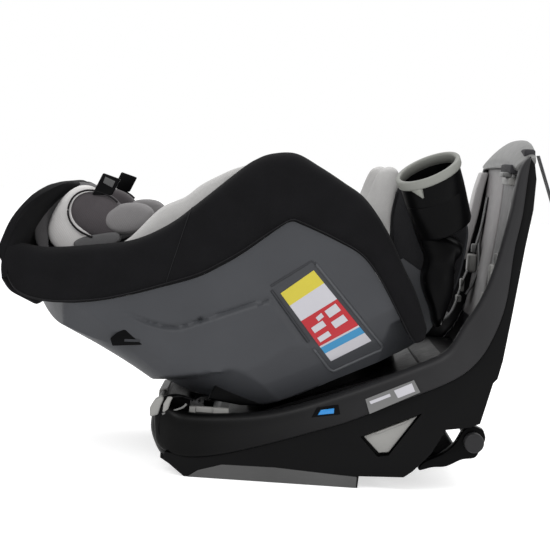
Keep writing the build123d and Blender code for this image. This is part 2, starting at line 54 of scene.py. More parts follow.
# ---- materials ----
class Recipe:
    """A material in the making, with short ways to add its nodes."""

    def __init__(self, name, scale=(1.0, 1.0, 1.0)):
        self.material = bpy.data.materials.new(name)
        self.material.use_nodes = True
        self.tree = self.material.node_tree
        coords = self.node("TexCoord", {}).outputs["Object"]
        self.where = self.node("Mapping", {"Scale": scale, "Vector": coords}).outputs["Vector"]

    def join(self, node, inputs):
        """Sets a node's inputs, each to a value or to another node's output."""
        for name, value in inputs.items():
            if isinstance(value, bpy.types.NodeSocket):
                self.tree.links.new(value, node.inputs[name])
            else:
                node.inputs[name].default_value = value
        return node

    def node(self, kind, inputs, **settings):
        node = self.tree.nodes.new("ShaderNode" + kind)
        for name, value in settings.items():
            setattr(node, name, value)
        return self.join(node, inputs)

    def noise(self, scale, detail):
        inputs = {"Scale": scale, "Detail": detail, "Roughness": 0.55, "Vector": self.where}
        return self.node("TexNoise", inputs).outputs["Fac"]

    def wave(self, vector, scale, distortion, detail=2.0, direction="X"):
        inputs = {"Scale": scale, "Distortion": distortion, "Detail": detail, "Vector": vector}
        return self.node("TexWave", inputs, bands_direction=direction).outputs["Fac"]

    def math(self, operation, *values):
        return self.node("Math", dict(enumerate(values)), operation=operation).outputs[0]

    def shades(self, value, low, high, colour, darker, lighter):
        """The colour between a darker and a lighter shade of itself, as a value goes from low to high."""
        node = self.node("ValToRGB", {"Fac": value})
        for element, position, factor in zip(node.color_ramp.elements, (low, high), (darker, lighter)):
            element.position = position
            element.color = (*(min(1.0, c * factor) for c in colour), 1)
        return node.outputs["Color"]

    def bump(self, height, strength, distance, **normal):
        inputs = {"Strength": strength, "Distance": distance, "Height": height, **normal}
        return self.node("Bump", inputs).outputs["Normal"]

    def finish(self, inputs):
        self.join(self.tree.nodes["Principled BSDF"], inputs)
        return self.material


def plastic(name, colour, roughness=0.42, grain=1.0, spread=0.1, coat=0.0, shine=0.16):
    """Moulded plastic: spark-eroded grain, faint flow marks and uneven gloss."""
    recipe = Recipe(name)
    cells = recipe.node("TexVoronoi", {"Scale": 1500.0, "Vector": recipe.where}).outputs["Distance"]
    return recipe.finish({
        "Base Color": recipe.shades(recipe.noise(9.0, 4.0), 0.3, 0.72, colour, 1 - spread, 1 + spread),
        "Roughness": recipe.math("MULTIPLY_ADD", recipe.noise(70.0, 3.0), 0.16, roughness - 0.08),
        "Normal": recipe.bump(cells, 0.22 * grain, 0.0002),
        "Specular IOR Level": shine,
        "Coat Weight": coat,
    })


def fabric(name, colour, pitch=1.5, roughness=0.9, sheen=0.25, spread=0.16, slub=0.4):
    """Woven polyester: two crossed thread directions, slubs and soft shade variation."""
    recipe = Recipe(name)
    threads = []
    for turn in ((0.0, 0.6, 0.62), (0.0, 0.6, -0.95)):
        turned_way = recipe.node("Mapping", {"Rotation": turn, "Vector": recipe.where}).outputs["Vector"]
        threads.append(recipe.wave(turned_way, 1000.0 / pitch / 6.28 * 2, 1.1, 1.5))
    fine = recipe.noise(900.0, 2.0)
    mixed = recipe.math("MULTIPLY_ADD", recipe.noise(22.0, 5.0), 0.55, recipe.math("MULTIPLY", fine, 0.45))
    weave = recipe.bump(recipe.math("MULTIPLY", *threads), 0.5, 0.00035)
    return recipe.finish({
        "Base Color": recipe.shades(mixed, 0.36, 0.66, colour, 1 - spread, 1 + spread),
        "Normal": recipe.bump(fine, slub, 0.0003, Normal=weave),
        "Roughness": roughness,
        "Sheen Weight": sheen,
        "Sheen Roughness": 0.5,
        "Specular IOR Level": 0.06,
    })


def webbing(name, colour):
    """Seat-belt webbing: fine ribs along its length."""
    recipe = Recipe(name)
    ribs = recipe.wave(recipe.where, 160.0, 0.6, direction="Y")
    return recipe.finish({"Base Color": recipe.shades(ribs, 0.1, 0.9, colour, 0.7, 1.3),
                          "Normal": recipe.bump(ribs, 0.5, 0.0004), "Roughness": 0.6, "Sheen Weight": 0.2})


def metal(name, colour=(0.55, 0.55, 0.57)):
    """Brushed steel."""
    recipe = Recipe(name, (60.0, 900.0, 60.0))
    brushed = recipe.noise(4.0, 3.0)
    return recipe.finish({"Base Color": recipe.shades(brushed, 0.3, 0.7, colour, 0.85, 1.1),
                          "Normal": recipe.bump(brushed, 0.15, 0.0001), "Metallic": 1.0, "Roughness": 0.32})


def shaded_towards_nose(material):
    """Darkens a rail's colour towards the nose, near black there: painted shade."""
    nodes, links = material.node_tree.nodes, material.node_tree.links
    shader = nodes["Principled BSDF"]
    split = nodes.new("ShaderNodeSeparateXYZ")
    links.new(nodes.new("ShaderNodeTexCoord").outputs["Object"], split.inputs["Vector"])
    along = nodes.new("ShaderNodeMapRange")
    for slot, value in zip(("From Min", "From Max", "To Min", "To Max"), (-0.18, 0.22, 0.05, 1.0)):
        along.inputs[slot].default_value = value
    links.new(split.outputs["X"], along.inputs["Value"])
    mix = nodes.new("ShaderNodeMix")
    mix.data_type = "RGBA"
    mix.blend_type = "MULTIPLY"
    mix.inputs["Factor"].default_value = 1.0
    links.new(shader.inputs["Base Color"].links[0].from_socket, mix.inputs[6])
    links.new(along.outputs["Result"], mix.inputs[7])
    links.new(mix.outputs[2], shader.inputs["Base Color"])
    return material


M = {
    # the shell grey, a lighter copy used as painted highlight on the label frame, and a darker copy used only
    # for painted shade
    "shell": plastic("shell_grey", (0.036, 0.0375, 0.0415), 0.46, 1.2, 0.07),
    "shell_light": plastic("shell_grey_light", (0.055, 0.057, 0.062), 0.46, 1.2, 0.06),
    "shell_shaded": plastic("shell_grey_shaded", (0.022, 0.023, 0.026), 0.5, 1.2, 0.06),
    "base": plastic("base_black", (0.0022, 0.0022, 0.0024), 0.4, 0.8, shine=0.07),
    # the rail's grey fades into painted shade towards the nose
    "rail": shaded_towards_nose(plastic("rail_grey", (0.02, 0.0198, 0.0208), 0.36, 0.9, shine=0.08)),
    "under": plastic("underside_grey", (0.058, 0.058, 0.058), 0.45, 0.9),
    "trim": plastic("trim_black", (0.0013, 0.0013, 0.0015), 0.34, 0.8, shine=0.05),
    "light": plastic("light_plastic", (0.21, 0.208, 0.2), 0.4, 0.8, 0.05),
    "cap": plastic("cap_grey", (0.12, 0.12, 0.118), 0.36, 0.8, 0.05),
    "ring": plastic("ring_grey", (0.16, 0.163, 0.15), 0.4, 0.6, 0.05),
    "panel": plastic("panel_grey", (0.3, 0.29, 0.29), 0.34, 0.6, 0.06),
    # the panel plates' light plastic, and a darker copy of it as painted shade on the near plate
    "panel_far": plastic("panel_far_grey", (0.21, 0.2, 0.202), 0.4, 0.6, 0.08),
    "panel_shaded": plastic("panel_shaded_grey", (0.075, 0.073, 0.074), 0.4, 0.6, 0.08),
    "blue": plastic("blue_lens", (0.01, 0.16, 0.42), 0.15, 0.1, 0.05, 0.5),
    "red_button": plastic("red_button", (0.4, 0.012, 0.016), 0.3, 0.3, 0.05),
    "rubber": plastic("rubber_black", (0.006, 0.006, 0.006), 0.7, 1.4),
    "black": fabric("black_fabric", (0.0045, 0.0044, 0.005), 1.3, 0.85, 0.015, 0.2),
    "cream": fabric("light_fabric", (0.37, 0.365, 0.36), 1.6, 0.92, 0.1, 0.08),
    "pale": fabric("pale_fabric", (0.47, 0.46, 0.455), 1.6, 0.92, 0.1, 0.06),
    "charcoal": fabric("charcoal_fabric", (0.052, 0.047, 0.05), 1.5, 0.92, 0.08, 0.14),
    "middle": fabric("mid_fabric", (0.15, 0.145, 0.147), 1.5, 0.92, 0.1, 0.1),
    "slate": fabric("slate_fabric", (0.028, 0.0275, 0.03), 1.5, 0.92, 0.06, 0.14),
    # the slate fabric made lighter where the crown's lining sits in shade: painted light
    "lining": fabric("slate_fabric_lit", (0.066, 0.064, 0.066), 1.5, 0.92, 0.1, 0.14),
    "cheek": fabric("cheek_fabric", (0.0185, 0.0185, 0.02), 1.5, 0.92, 0.06, 0.14),
    "flat": fabric("flat_fabric", (0.085, 0.084, 0.086), 1.5, 0.9, 0.05, 0.1),
    "pipe": fabric("piping", (0.012, 0.011, 0.012), 0.8, 0.7, 0.03),
    "foam": fabric("foam", (0.05, 0.05, 0.05), 3.0, 0.97, 0.0, 0.2),
    "webbing": webbing("webbing_black", (0.004, 0.004, 0.0045)),
    "strap": webbing("strap_grey", (0.03, 0.03, 0.033)),
    "thread": fabric("thread", (0.012, 0.012, 0.013), 0.8, 0.7, 0.03),
    "steel": metal("steel"),
}
LABEL_COLOURS = {"yellow": ((0.4, 0.34, 0.035), 0.04), "white": ((0.36, 0.355, 0.38), 0.04),
                 "red": ((0.3, 0.014, 0.02), 0.05), "blue": ((0.03, 0.18, 0.34), 0.05)}
for colour_name, (colour, spread) in LABEL_COLOURS.items():
    M[f"label_{colour_name}"] = plastic(f"label_{colour_name}", colour, 0.3, 0.2, spread, 0.2)
M["label_grey"] = plastic("label_grey", (0.11, 0.11, 0.11), 0.35, 0.2, 0.05, 0.2)


# ---- mesh tools ----
def spline(points, count):
    """Points evenly spaced along a Catmull-Rom curve through the given ones."""
    p = np.asarray(points, float)
    ends = np.vstack([2 * p[0] - p[1], p, 2 * p[-1] - p[-2]])
    fine = []
    for i in range(len(p) - 1):
        a, b, c, d = ends[i:i + 4]
        t = np.linspace(0, 1, 24, endpoint=False)[:, None]
        fine.append(0.5 * (2 * b + (c - a) * t + (2 * a - 5 * b + 4 * c - d) * t ** 2
                           + (3 * b - a - 3 * c + d) * t ** 3))
    fine = np.vstack(fine + [p[-1:]])
    length = np.concatenate([[0], np.cumsum(np.linalg.norm(np.diff(fine, axis=0), axis=1))])
    at = np.linspace(0, length[-1], count)
    return np.stack([np.interp(at, length, fine[:, k]) for k in range(p.shape[1])], axis=1)


def rounded(points, count):
    """A smooth closed outline through the points."""
    return spline(list(points) + [points[0]], count)[:-1]


def at_width(point, y):
    """A point of a side view, placed across the seat."""
    return (point[0], y, point[1])


def smoothstep(low, high, x):
    t = np.clip((np.asarray(x, float) - low) / (high - low), 0, 1)
    return t * t * (3 - 2 * t)


def add_object(name, verts, faces, material, smooth=True):
    mesh = bpy.data.meshes.new(name)
    mesh.from_pydata([tuple(v * MM) for v in np.asarray(verts, float)], [], faces)
    mesh.validate()
    obj = bpy.data.objects.new(name, mesh)
    bpy.context.scene.collection.objects.link(obj)
    mesh.materials.append(M[material])
    tidy_mesh(obj)
    if smooth:
        mesh.shade_smooth()
    return obj


def tidy_mesh(obj):
    bm = bmesh.new()
    bm.from_mesh(obj.data)
    bmesh.ops.remove_doubles(bm, verts=bm.verts, dist=1e-6)
    bmesh.ops.recalc_face_normals(bm, faces=bm.faces)
    bm.to_mesh(obj.data)
    bm.free()


def loft(name, rows, material, closed=True, caps=True, levels=0):
    """A skin over rows of points. closed joins each row's ends, caps close the first and last row."""
    rows = np.asarray(rows, float)
    n, m = rows.shape[:2]
    faces = []
    for i in range(n - 1):
        for k in range(m if closed else m - 1):
            a, b = i * m + k, i * m + (k + 1) % m
            faces.append((a, b, b + m, a + m))
    if caps and closed:
        faces.append(tuple(range(m)))
        faces.append(tuple((n - 1) * m + k for k in range(m)))
    obj = add_object(name, rows.reshape(-1, 3), faces, material)
    if levels:
        subdivide(obj, levels)
    return obj


def apply_modifiers(obj):
    depsgraph = bpy.context.evaluated_depsgraph_get()
    mesh = bpy.data.meshes.new_from_object(obj.evaluated_get(depsgraph))
    old = obj.data
    obj.modifiers.clear()
    obj.data = mesh
    bpy.data.meshes.remove(old)


def subdivide(obj, levels):
    modifier = obj.modifiers.new("Subdivision", "SUBSURF")
    modifier.levels = modifier.render_levels = levels
    apply_modifiers(obj)
    obj.data.shade_smooth()


def bevelled(obj, width, segments=3, angle=30):
    """Rounds the sharp edges and keeps flat faces flat."""
    modifier = obj.modifiers.new("Bevel", "BEVEL")
    modifier.width = width * MM
    modifier.segments = segments
    modifier.limit_method = "ANGLE"
    modifier.angle_limit = math.radians(angle)
    modifier.harden_normals = False
    apply_modifiers(obj)
    obj.data.shade_smooth()
    obj.data.set_sharp_from_angle(angle=math.radians(35))
    return obj


def prism(name, outline, low, high, material, bevel=2.0, place=None):
    """An outline made solid between two heights across it, with rounded edges."""
    outline = np.asarray(outline, float)
    n = len(outline)
    verts = []
    for height in (low, high):
        verts += [(a, height, b) for a, b in outline]
    if place is not None:
        verts = [place(v) for v in verts]
    faces = [tuple(range(n)), tuple(range(2 * n - 1, n - 1, -1))]
    faces += [(k, (k + 1) % n, n + (k + 1) % n, n + k) for k in range(n)]
    obj = add_object(name, verts, faces, material, smooth=False)
    return bevelled(obj, bevel) if bevel else obj


def box_piece(name, spans, material, bevel=2.0, place=None):
    (x0, x1), (y0, y1), (z0, z1) = spans
    return prism(name, [(x0, z0), (x1, z0), (x1, z1), (x0, z1)], y0, y1, material, bevel, place=place)


def on_back(v):
    """A point given along the back, across it and out of it."""
    x, z = BIGHT + ALONG * v[0] + OUT * v[2]
    return (x, v[1], z)


def on_pan(v):
    """A point given along the seat cushion's slope, across it and out of it."""
    x, z = (PAN_ORIGIN + v[0] * np.array([math.cos(PAN_ANGLE), math.sin(PAN_ANGLE)])
            + v[2] * np.array([-math.sin(PAN_ANGLE), math.cos(PAN_ANGLE)]))
    return (x, v[1], z)


def tube(name, path, radius, material, sides=10):
    """A round bead along a path of points."""
    path = np.asarray(path, float)
    tangent = np.gradient(path, axis=0)
    tangent /= np.linalg.norm(tangent, axis=1)[:, None]
    up = np.array([0.0, 0.0, 1.0]) if abs(tangent[:, 2]).mean() < 0.8 else np.array([1.0, 0.0, 0.0])
    rows = []
    for p, t in zip(path, tangent):
        side = np.cross(t, up)
        side /= np.linalg.norm(side)
        over = np.cross(side, t)
        turn = np.linspace(0, 2 * math.pi, sides, endpoint=False)
        rows.append(p + radius * (np.cos(turn)[:, None] * side + np.sin(turn)[:, None] * over))
    return loft(name, rows, material)


def ribbon(name, path, across, width, thick, material):
    """Flat webbing along a path, its width along the given direction."""
    path = np.asarray(path, float)
    across = np.asarray(across, float)
    tangent = np.gradient(path, axis=0)
    rows = []
    for p, t in zip(path, tangent):
        t = t / np.linalg.norm(t)
        up = np.cross(across, t)
        up /= np.linalg.norm(up)
        w, h = across * width / 2, up * thick / 2
        rows.append([p - w - h * 0.5, p - w * 0.96 - h, p + w * 0.96 - h, p + w - h * 0.5,
                     p + w + h * 0.5, p + w * 0.96 + h, p - w * 0.96 + h, p - w + h * 0.5])
    return loft(name, rows, material)


def place(piece, body, slot=None, nodes=()):
    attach(piece, body)
    if nodes:
        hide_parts(*nodes)
    return piece


def swell(obj, pressure=4.0, cap=8.0, voxel=5.0):
    """Fills a pad by cloth simulation and limits how far each point moves, in millimetres."""
    remesh = obj.modifiers.new("Remesh", "REMESH")
    remesh.mode = "VOXEL"
    remesh.voxel_size = voxel * MM
    apply_modifiers(obj)
    start = np.empty(len(obj.data.vertices) * 3)
    obj.data.vertices.foreach_get("co", start)
    cloth = obj.modifiers.new("Cloth", "CLOTH")
    cloth.settings.use_pressure = True
    cloth.settings.uniform_pressure_force = pressure
    cloth.settings.effector_weights.gravity = 0
    cloth.settings.quality = 4
    for step in range(1, 15):
        bpy.context.scene.frame_set(step)
    apply_modifiers(obj)
    end = np.empty_like(start)
    obj.data.vertices.foreach_get("co", end)
    move = (end - start).reshape(-1, 3)
    far = np.linalg.norm(move, axis=1)
    move *= np.minimum(1, cap * MM / np.maximum(far, 1e-9))[:, None]
    obj.data.vertices.foreach_set("co", (start.reshape(-1, 3) + move).ravel())
    bpy.context.scene.frame_set(1)
    smooth = obj.modifiers.new("Smooth", "SMOOTH")
    smooth.factor = 0.5
    smooth.iterations = 5
    apply_modifiers(obj)
    obj.data.shade_smooth()
    return obj


def soft(piece, body, slot, nodes=()):
    """A soft piece, placed."""
    return place(piece, body, slot, nodes)


def stuffed(piece, pressure, cap, voxel, body, slot, nodes=()):
    """A soft piece that cloth simulation fills before it is placed."""
    swell(piece, pressure, cap, voxel)
    subdivide(piece, 1)
    return soft(piece, body, slot, nodes)


def side_plates(plates, body, side, name, frame_of=None):
    """Flat pieces on one side, from a table. The near one stands for a CAD node that has both."""
    for tag, (outline, (low, high), material, bevel, slot, node) in plates.items():
        piece = prism(f"{tag}_{name}", outline, side * low, side * high, material, bevel, frame_of)
        place(piece, body, slot, [node] if node and side < 0 else ())


# ---- the seat's shell and covers ----
SHELL_UNDER = [(-459, 259), (-420, 222), (-342, 181), (-291, 153), (-249, 128), (-229, 120), (-160, 111),
               (-78, 110), (30, 161), (100, 195), (147, 218), (160, 232)]
COVER_TOP = [(-486, 340), (-458, 335), (-423, 333), (-359, 341), (-297, 353), (-245, 380), (-203, 415),
             (-142, 470), (-119, 487), (-96, 497), (-60, 500), (-23, 483), (16, 461), (51, 438), (87, 392),
             (116, 339), (138, 300), (157, 250)]
COVER_EDGE = [(-489, 308), (-478, 276), (-459, 259), (-418, 251), (-362, 255), (-310, 266), (-250, 285),
              (-196, 304), (-162, 323), (-129, 345), (-77, 387), (-61, 397), (-47, 395), (8, 374),
              (51, 352), (82, 315), (112, 266), (137, 228), (153, 232)]
CREASE = [(-305, 246), (-262, 231), (-222, 227), (-178, 243), (-76, 279), (-30, 252)]
LABEL = np.array([(-73, 290), (-19, 327), (82, 219), (15, 185)], float)
STEPS = 72


def matched(low, high, count):
    """Two edge curves as rows with one shared parameter."""
    return spline(low, count), spline(high, count)


def path_distance(points, path):
    """Signed distance of points from an open path: positive above it."""
    best = np.full(len(points), 1e9)
    sign = np.ones(len(points))
    for a, b in zip(path[:-1], path[1:]):
        ab = b - a
        t = np.clip(((points - a) @ ab) / (ab @ ab), 0, 1)
        foot = a + t[:, None] * ab
        gap = np.linalg.norm(points - foot, axis=1)
        side = ab[0] * (points - a)[:, 1] - ab[1] * (points - a)[:, 0]
        closer = gap < best
        best = np.where(closer, gap, best)
        sign = np.where(closer, np.sign(side), sign)
    return best * sign


def inside_label(points, grow=0.0):
    """How deep points lie inside the label's recess, in millimetres, negative outside."""
    depth = np.full(len(points), 1e9)
    centre = LABEL.mean(axis=0)
    for a, b in zip(LABEL, np.roll(LABEL, -1, axis=0)):
        normal = np.array([-(b - a)[1], (b - a)[0]])
        normal /= np.linalg.norm(normal)
        if normal @ (centre - a) < 0:
            normal = -normal
        depth = np.minimum(depth, (points - a) @ normal + grow)
    return depth


UNDER_SLOPE = math.radians(25.6)


def width_limit(points):
    """The bucket's half-width where it has to pass over the bowl and the nose as it turns."""
    under = (points[:, 1] - 110) * math.cos(UNDER_SLOPE) - (points[:, 0] + 78) * math.sin(UNDER_SLOPE)
    behind = (points - BIGHT) @ OUT
    along = points[:, 0] * math.cos(TILT) + (points[:, 1] - 150) * math.sin(TILT)
    height = -points[:, 0] * math.sin(TILT) + (points[:, 1] - 150) * math.cos(TILT)
    reach = np.interp(height, [-12.5, 60, 110], [189, 244, 399])
    turning = np.sqrt(np.maximum(reach ** 2 - along ** 2, 60 ** 2))
    flat = np.minimum(np.interp(under, [-60, -6, 34, 74, 90], [150, 176, 200, 219, 226]),
                      np.interp(behind, [-83, -36, -20], [186, 219, 226]))
    return np.minimum(flat, turning)


def shell_piece():
    """The plastic bucket as one smooth skin down the near side, under and up the far side."""
    upper = spline([(-462, 262)] + COVER_EDGE[3:-1] + [(150, 236)], STEPS * 3)
    lower = spline(SHELL_UNDER, STEPS * 3)
    depth = np.concatenate([np.linspace(0, 0.8, 46), np.linspace(0.815, 1, 20)])
    crease = spline(CREASE, 60)
    rows = []
    for a, b in zip(upper, lower):
        line = a + (b - a) * depth[:, None]
        reach = np.linalg.norm(b - a)
        low = (1 - depth) * reach
        rounding = min(float(np.interp(b[0], [-150, -70, 40], [70, 50, 34])), 0.62 * reach)
        tuck = float(np.interp(b[0], [-150, -78, 30, 100], [84, 52, 30, 22]))
        t = np.clip(1 - low / rounding, 0, 1)
        half = 219 - 5 * depth * min(1, reach / 200) - tuck * (1 - np.sqrt(np.maximum(0, 1 - t ** 2.6)))
        below = -path_distance(line, crease)
        inner_x = smoothstep(-330, -250, line[:, 0]) * (1 - smoothstep(-60, 10, line[:, 0]))
        rim = inside_label(line, 13)
        inner_x = inner_x * (1 - smoothstep(-8, 2, rim))
        half = half + 6.0 * smoothstep(0, 7, below) * inner_x * (1 - smoothstep(25, 120, below)) * (1 - t)
        half = half - 2.2 * smoothstep(-5, 0, below) * (1 - smoothstep(0, 4, below)) * inner_x
        half = half + 1.2 * smoothstep(-3, 1, rim) - 3.6 * smoothstep(3, 8, rim)
        half = half - 4.0 * smoothstep(0, 2.5, 5 - np.linalg.norm(line - np.array([-187, 240]), axis=1))
        half = np.minimum(half, width_limit(line))
        near_side = np.stack([line[:, 0], -half, line[:, 1]], axis=1)
        floor = np.linspace(-half[-1], half[-1], 14)[1:-1]
        under = np.stack([np.full(12, b[0]), floor, np.full(12, b[1])], axis=1)
        far_side = near_side[::-1] * np.array([1, -1, 1])
        rows.append(np.vstack([near_side, under, far_side]))
    shell = loft("bucket_shell", rows, "shell", closed=False, caps=False)
    solid = shell.modifiers.new("Solidify", "SOLIDIFY")
    solid.thickness = 3.4 * MM
    solid.offset = -1
    apply_modifiers(shell)
    shell.data.shade_smooth()
    shell.data.set_sharp_from_angle(angle=math.radians(50))
    place(shell, "seat", "shell_grey", ["seat_shell"])


COVER_SECTION = [(0.80, 172), (0.40, 166), (0.12, 168), (0.03, 174), (0.0, 184), (-0.01, 197), (0.01, 211),
                 (0.06, 221), (0.16, 227), (0.34, 229.5), (0.6, 229.5), (0.82, 227.5), (0.94, 224.5),
                 (0.99, 221), (1.0, 216.5), (0.97, 213)]


SEAM_AT, STITCH_AT = 0.36, 0.955  # along the cover, and from its top edge to its low one
OUTER_FACE = 215  # the outer padding starts here and is a little uneven


def cover_piece(side, name):
    """The padded cover that rolls over a side wall's rim."""
    upper, lower = matched(COVER_TOP, COVER_EDGE, 130)
    rows = []
    for a, b in zip(upper, lower):
        puff = 1.2 * noise.noise(Vector((a[0] * 0.013, 0.4, a[1] * 0.013)))
        row = []
        for fraction, y in COVER_SECTION:
            x, z = a + (b - a) * fraction
            ripple = noise.noise(Vector((x * 0.02, 2.1, z * 0.02)))
            row.append((x, side * (y + (puff + ripple) * (1 if y > OUTER_FACE else 0)), z))
        rows.append(row)
    cover = loft(f"side_cover_{name}", rows, "black", levels=1)
    soft(cover, "seat", "black_fabric", [f"side_cover_{name}"])
    seam = [np.array(rows[int(SEAM_AT * len(rows))][k]) + np.array([0, side * 0.2, 0]) for k in range(5, 13)]
    place(tube(f"cover_seam_{name}", spline(seam, 30), 0.6, "thread", 6), "seat")
    bead = [at_width(a + (b - a) * STITCH_AT, side * 226.2) for a, b in zip(upper, lower)]
    place(tube(f"cover_edge_stitch_{name}", bead[3:-3], 0.55, "thread", 6), "seat")


HOOD_RIM = [(-227, 416, -24), (-226.5, 421, 6), (-222, 425, 30), (-211, 426, 52), (-190, 423, 74),
            (-155, 414, 93), (-105, 400, 106), (-52, 386, 114), (0, 380, 117)]
HOOD_BACK = [(402, 108), (416, 98), (430, 78), (439, 48), (440, 10), (430, -36), (416, -62)]


def hood_piece():
    """The head-end wall with its soft arched rim, which leans inwards as it rises."""
    half = np.array(HOOD_RIM, float)
    rim = spline(np.vstack([half, half[-2::-1] * np.array([-1, 1, 1])]), 81)
    rows = []
    for y, s, top in rim:
        side = min(1.0, abs(y) / SIDE_Y)
        keep = 1 - side ** 4
        corner = [(s + 5, top - 2), (s + 8, top - 5), (s + 9, top - 16), (s + 4, top * 0.5 - 8),
                  (416, top * 0.3 - 22), (406, -46), (400, -56)]
        outer = [(a * keep + c * (1 - keep), min(b, top - 1) * keep + d * (1 - keep))
                 for (a, b), (c, d) in zip(HOOD_BACK, corner)]
        inner = [(392, -56), (404, (top - 60) * 0.4), (s - 3, top - 20), (s - 3, top - 7), (s, top - 1)]
        rows.append([on_back((a, y, w)) for a, w in inner + outer + [(396, -64)]])
    hood = loft("crown_hood", rows, "black", levels=2)
    soft(hood, "seat", "black_fabric", ["crown_hood"])


LINER_TOP = [(-330, 338), (-305, 356), (-262, 403), (-225, 423), (-202, 443), (-167, 464), (-143, 475),
             (-96, 490), (-60, 491), (-10, 470), (40, 436), (76, 396)]
LINER_FOOT = [(-318, 268), (-290, 262), (-240, 240), (-200, 225), (-170, 215), (-140, 210), (-120, 205),
              (-90, 200), (-60, 203), (-20, 215), (30, 240), (76, 275)]


def liner_piece(side, name):
    """The light quilted lining inside a side wall."""
    upper, lower = matched(LINER_TOP, LINER_FOOT, 90)
    rows = []
    for a, b in zip(upper, lower):
        row = []
        for f, y in ((1, 166), (0.5, 166.4), (0.06, 167), (0.0, 163), (0.0, 157), (0.05, 151), (0.2, 148),
                     (0.42, 146.5), (0.5, 149.5), (0.58, 146.5), (0.8, 147.5), (1, 152)):
            x, z = a + (b - a) * f
            row.append((x, side * y, z))
        rows.append(row)
    liner = loft(f"wing_liner_{name}", rows, "cream", levels=1)
    soft(liner, "seat", "light_fabric", [f"wing_liner_{name}"])


BOLSTER = [(36, 372), (52, 425), (60, 449), (66, 469), (73, 485), (87, 491), (101, 487), (106, 470),
           (106, 440), (108, 400), (119, 352), (125, 328), (96, 318)]


def bolster_piece(side, name):
    """The tall light bolster beside the thigh."""
    pad = prism(f"thigh_bolster_{name}", rounded(BOLSTER, 60), side * 104, side * 136, "cream", 9)
    stuffed(pad, 4.0, 6.0, 4.5, "seat", "light_fabric", [f"thigh_bolster_{name}"])


LEG_SIDE = [(94, 399), (101, 452), (108, 470), (130, 474), (168, 462), (200, 440), (214, 408), (216, 382),
            (205, 315), (182, 270), (167, 239), (147, 219), (112, 218), (92, 330)]


def hood_corner(side, name):
    """The soft fill between the hood and a side wall."""
    fill = [(330, -70), (334, -20), (350, -6), (402, -2), (404, -62), (380, -74)]
    pad = prism(f"hood_corner_{name}", fill, side * 143, side * 214, "black", 8, place=on_back)
    soft(pad, "seat", "black_fabric")


SCOOP_OUTER = [(112, 203), (147, 219), (167, 239), (182, 270), (205, 315), (216, 382), (213, 412), (200, 436)]
SCOOP_INNER = [(112, 215), (143, 229), (160, 247), (174, 276), (197, 319), (207, 382), (205, 410), (196, 430)]
LEG_PLATES = {
    "leg_cheek": (rounded(LEG_SIDE, 90), (133, 141.5), "cheek", 3, "black_fabric", None),
    "leg_guard": ([(147, 219), (167, 239), (184, 272), (170, 287), (154, 308), (147, 332), (118, 350),
                   (104, 340), (118, 262)], (141.7, 144.5), "shell_light", 1.2, "shell_grey", None),
}


def leg_end():
    """The narrower leg end: a plastic scoop with fabric side cheeks."""
    outer = spline(SCOOP_OUTER, 40)
    inner = spline(SCOOP_INNER, 40)
    rows = []
    for a, b in zip(outer, inner):
        outside = [at_width(a, y) for y in (-142, -120, 0, 120, 142)]
        rows.append(outside + [at_width(b, y) for y in (140, 0, -140)])
    place(loft("leg_scoop", rows, "shell"), "seat", "shell_grey")
    for side, name in SIDES:
        side_plates(LEG_PLATES, "seat", side, name)
        welt = spline([(101, 452), (96, 410), (104, 360), (118, 322), (136, 280)], 40)
        place(tube(f"cheek_piping_{name}", [(x, side * 143, z) for x, z in welt], 1.7, "thread", 8), "seat")


def on_side(points, top, lift=0.0):
    """Points on the bucket's side: the plain wall or the tapered part below it, whichever is further in."""
    points = np.asarray(points, float)
    return np.minimum(top, width_limit(points) + 0.4) + lift


def patch(name, corners, side, lift, material):
    """A thin blank print that follows the bucket's side between four corners."""
    a, b, c, d = (np.asarray(p, float) for p in corners)
    rows = []
    for t in np.linspace(0, 1, 9):
        start, end = a + (d - a) * t, b + (c - b) * t
        line = start + (end - start) * np.linspace(0, 1, 12)[:, None]
        y = on_side(line, 215.6, lift)
        face = np.stack([line[:, 0], side * y, line[:, 1]], axis=1)
        rows.append(np.vstack([face, face[::-1] - np.array([0, side * 0.6, 0])]))
    obj = loft(name, rows, material)
    obj.data.set_sharp_from_angle(angle=math.radians(40))
    return place(obj, "seat", "label_print")


# how far down the label each band runs, and each box's run across and down it
LABEL_BANDS = ((0.03, 0.2, "label_yellow"), (0.2, 0.41, "label_white"), (0.41, 0.76, "label_red"),
               (0.76, 0.78, "label_white"), (0.78, 0.865, "label_blue"), (0.865, 0.98, "label_white"))
LABEL_BOXES = ((0.12, 0.42, 0.53, 0.6), (0.58, 0.88, 0.43, 0.52), (0.54, 0.86, 0.57, 0.65),
               (0.1, 0.38, 0.66, 0.72), (0.34, 0.5, 0.45, 0.5))
BAND_SLANT, BOX_SLANT = 0.035, 0.02


def label_corners(left, right, low, high, slant):
    """The corners of a patch that runs across and down the label, a little slanted."""
    corners = []
    for a, d in ((left, low), (right, low - slant), (right, high - slant), (left, high)):
        down = (LABEL[3] - LABEL[0]) * d * (1 - a) + (LABEL[2] - LABEL[1]) * d * a
        corners.append(LABEL[0] + (LABEL[1] - LABEL[0]) * a + down)
    return corners


def label_piece(side, name):
    """The blank colour-banded label, in strips across the recess."""
    for index, (low, high, material) in enumerate(LABEL_BANDS):
        corners = label_corners(0.03, 0.97, low, high, BAND_SLANT)
        strip = patch(f"label_{name}_band_{index}", corners, side, 0.0, material)
        if side < 0 and index == 0:
            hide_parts("side_labels")
    for index, box in enumerate(LABEL_BOXES):
        patch(f"label_{name}_box_{index}", label_corners(*box, BOX_SLANT), side, 0.4, "label_white")


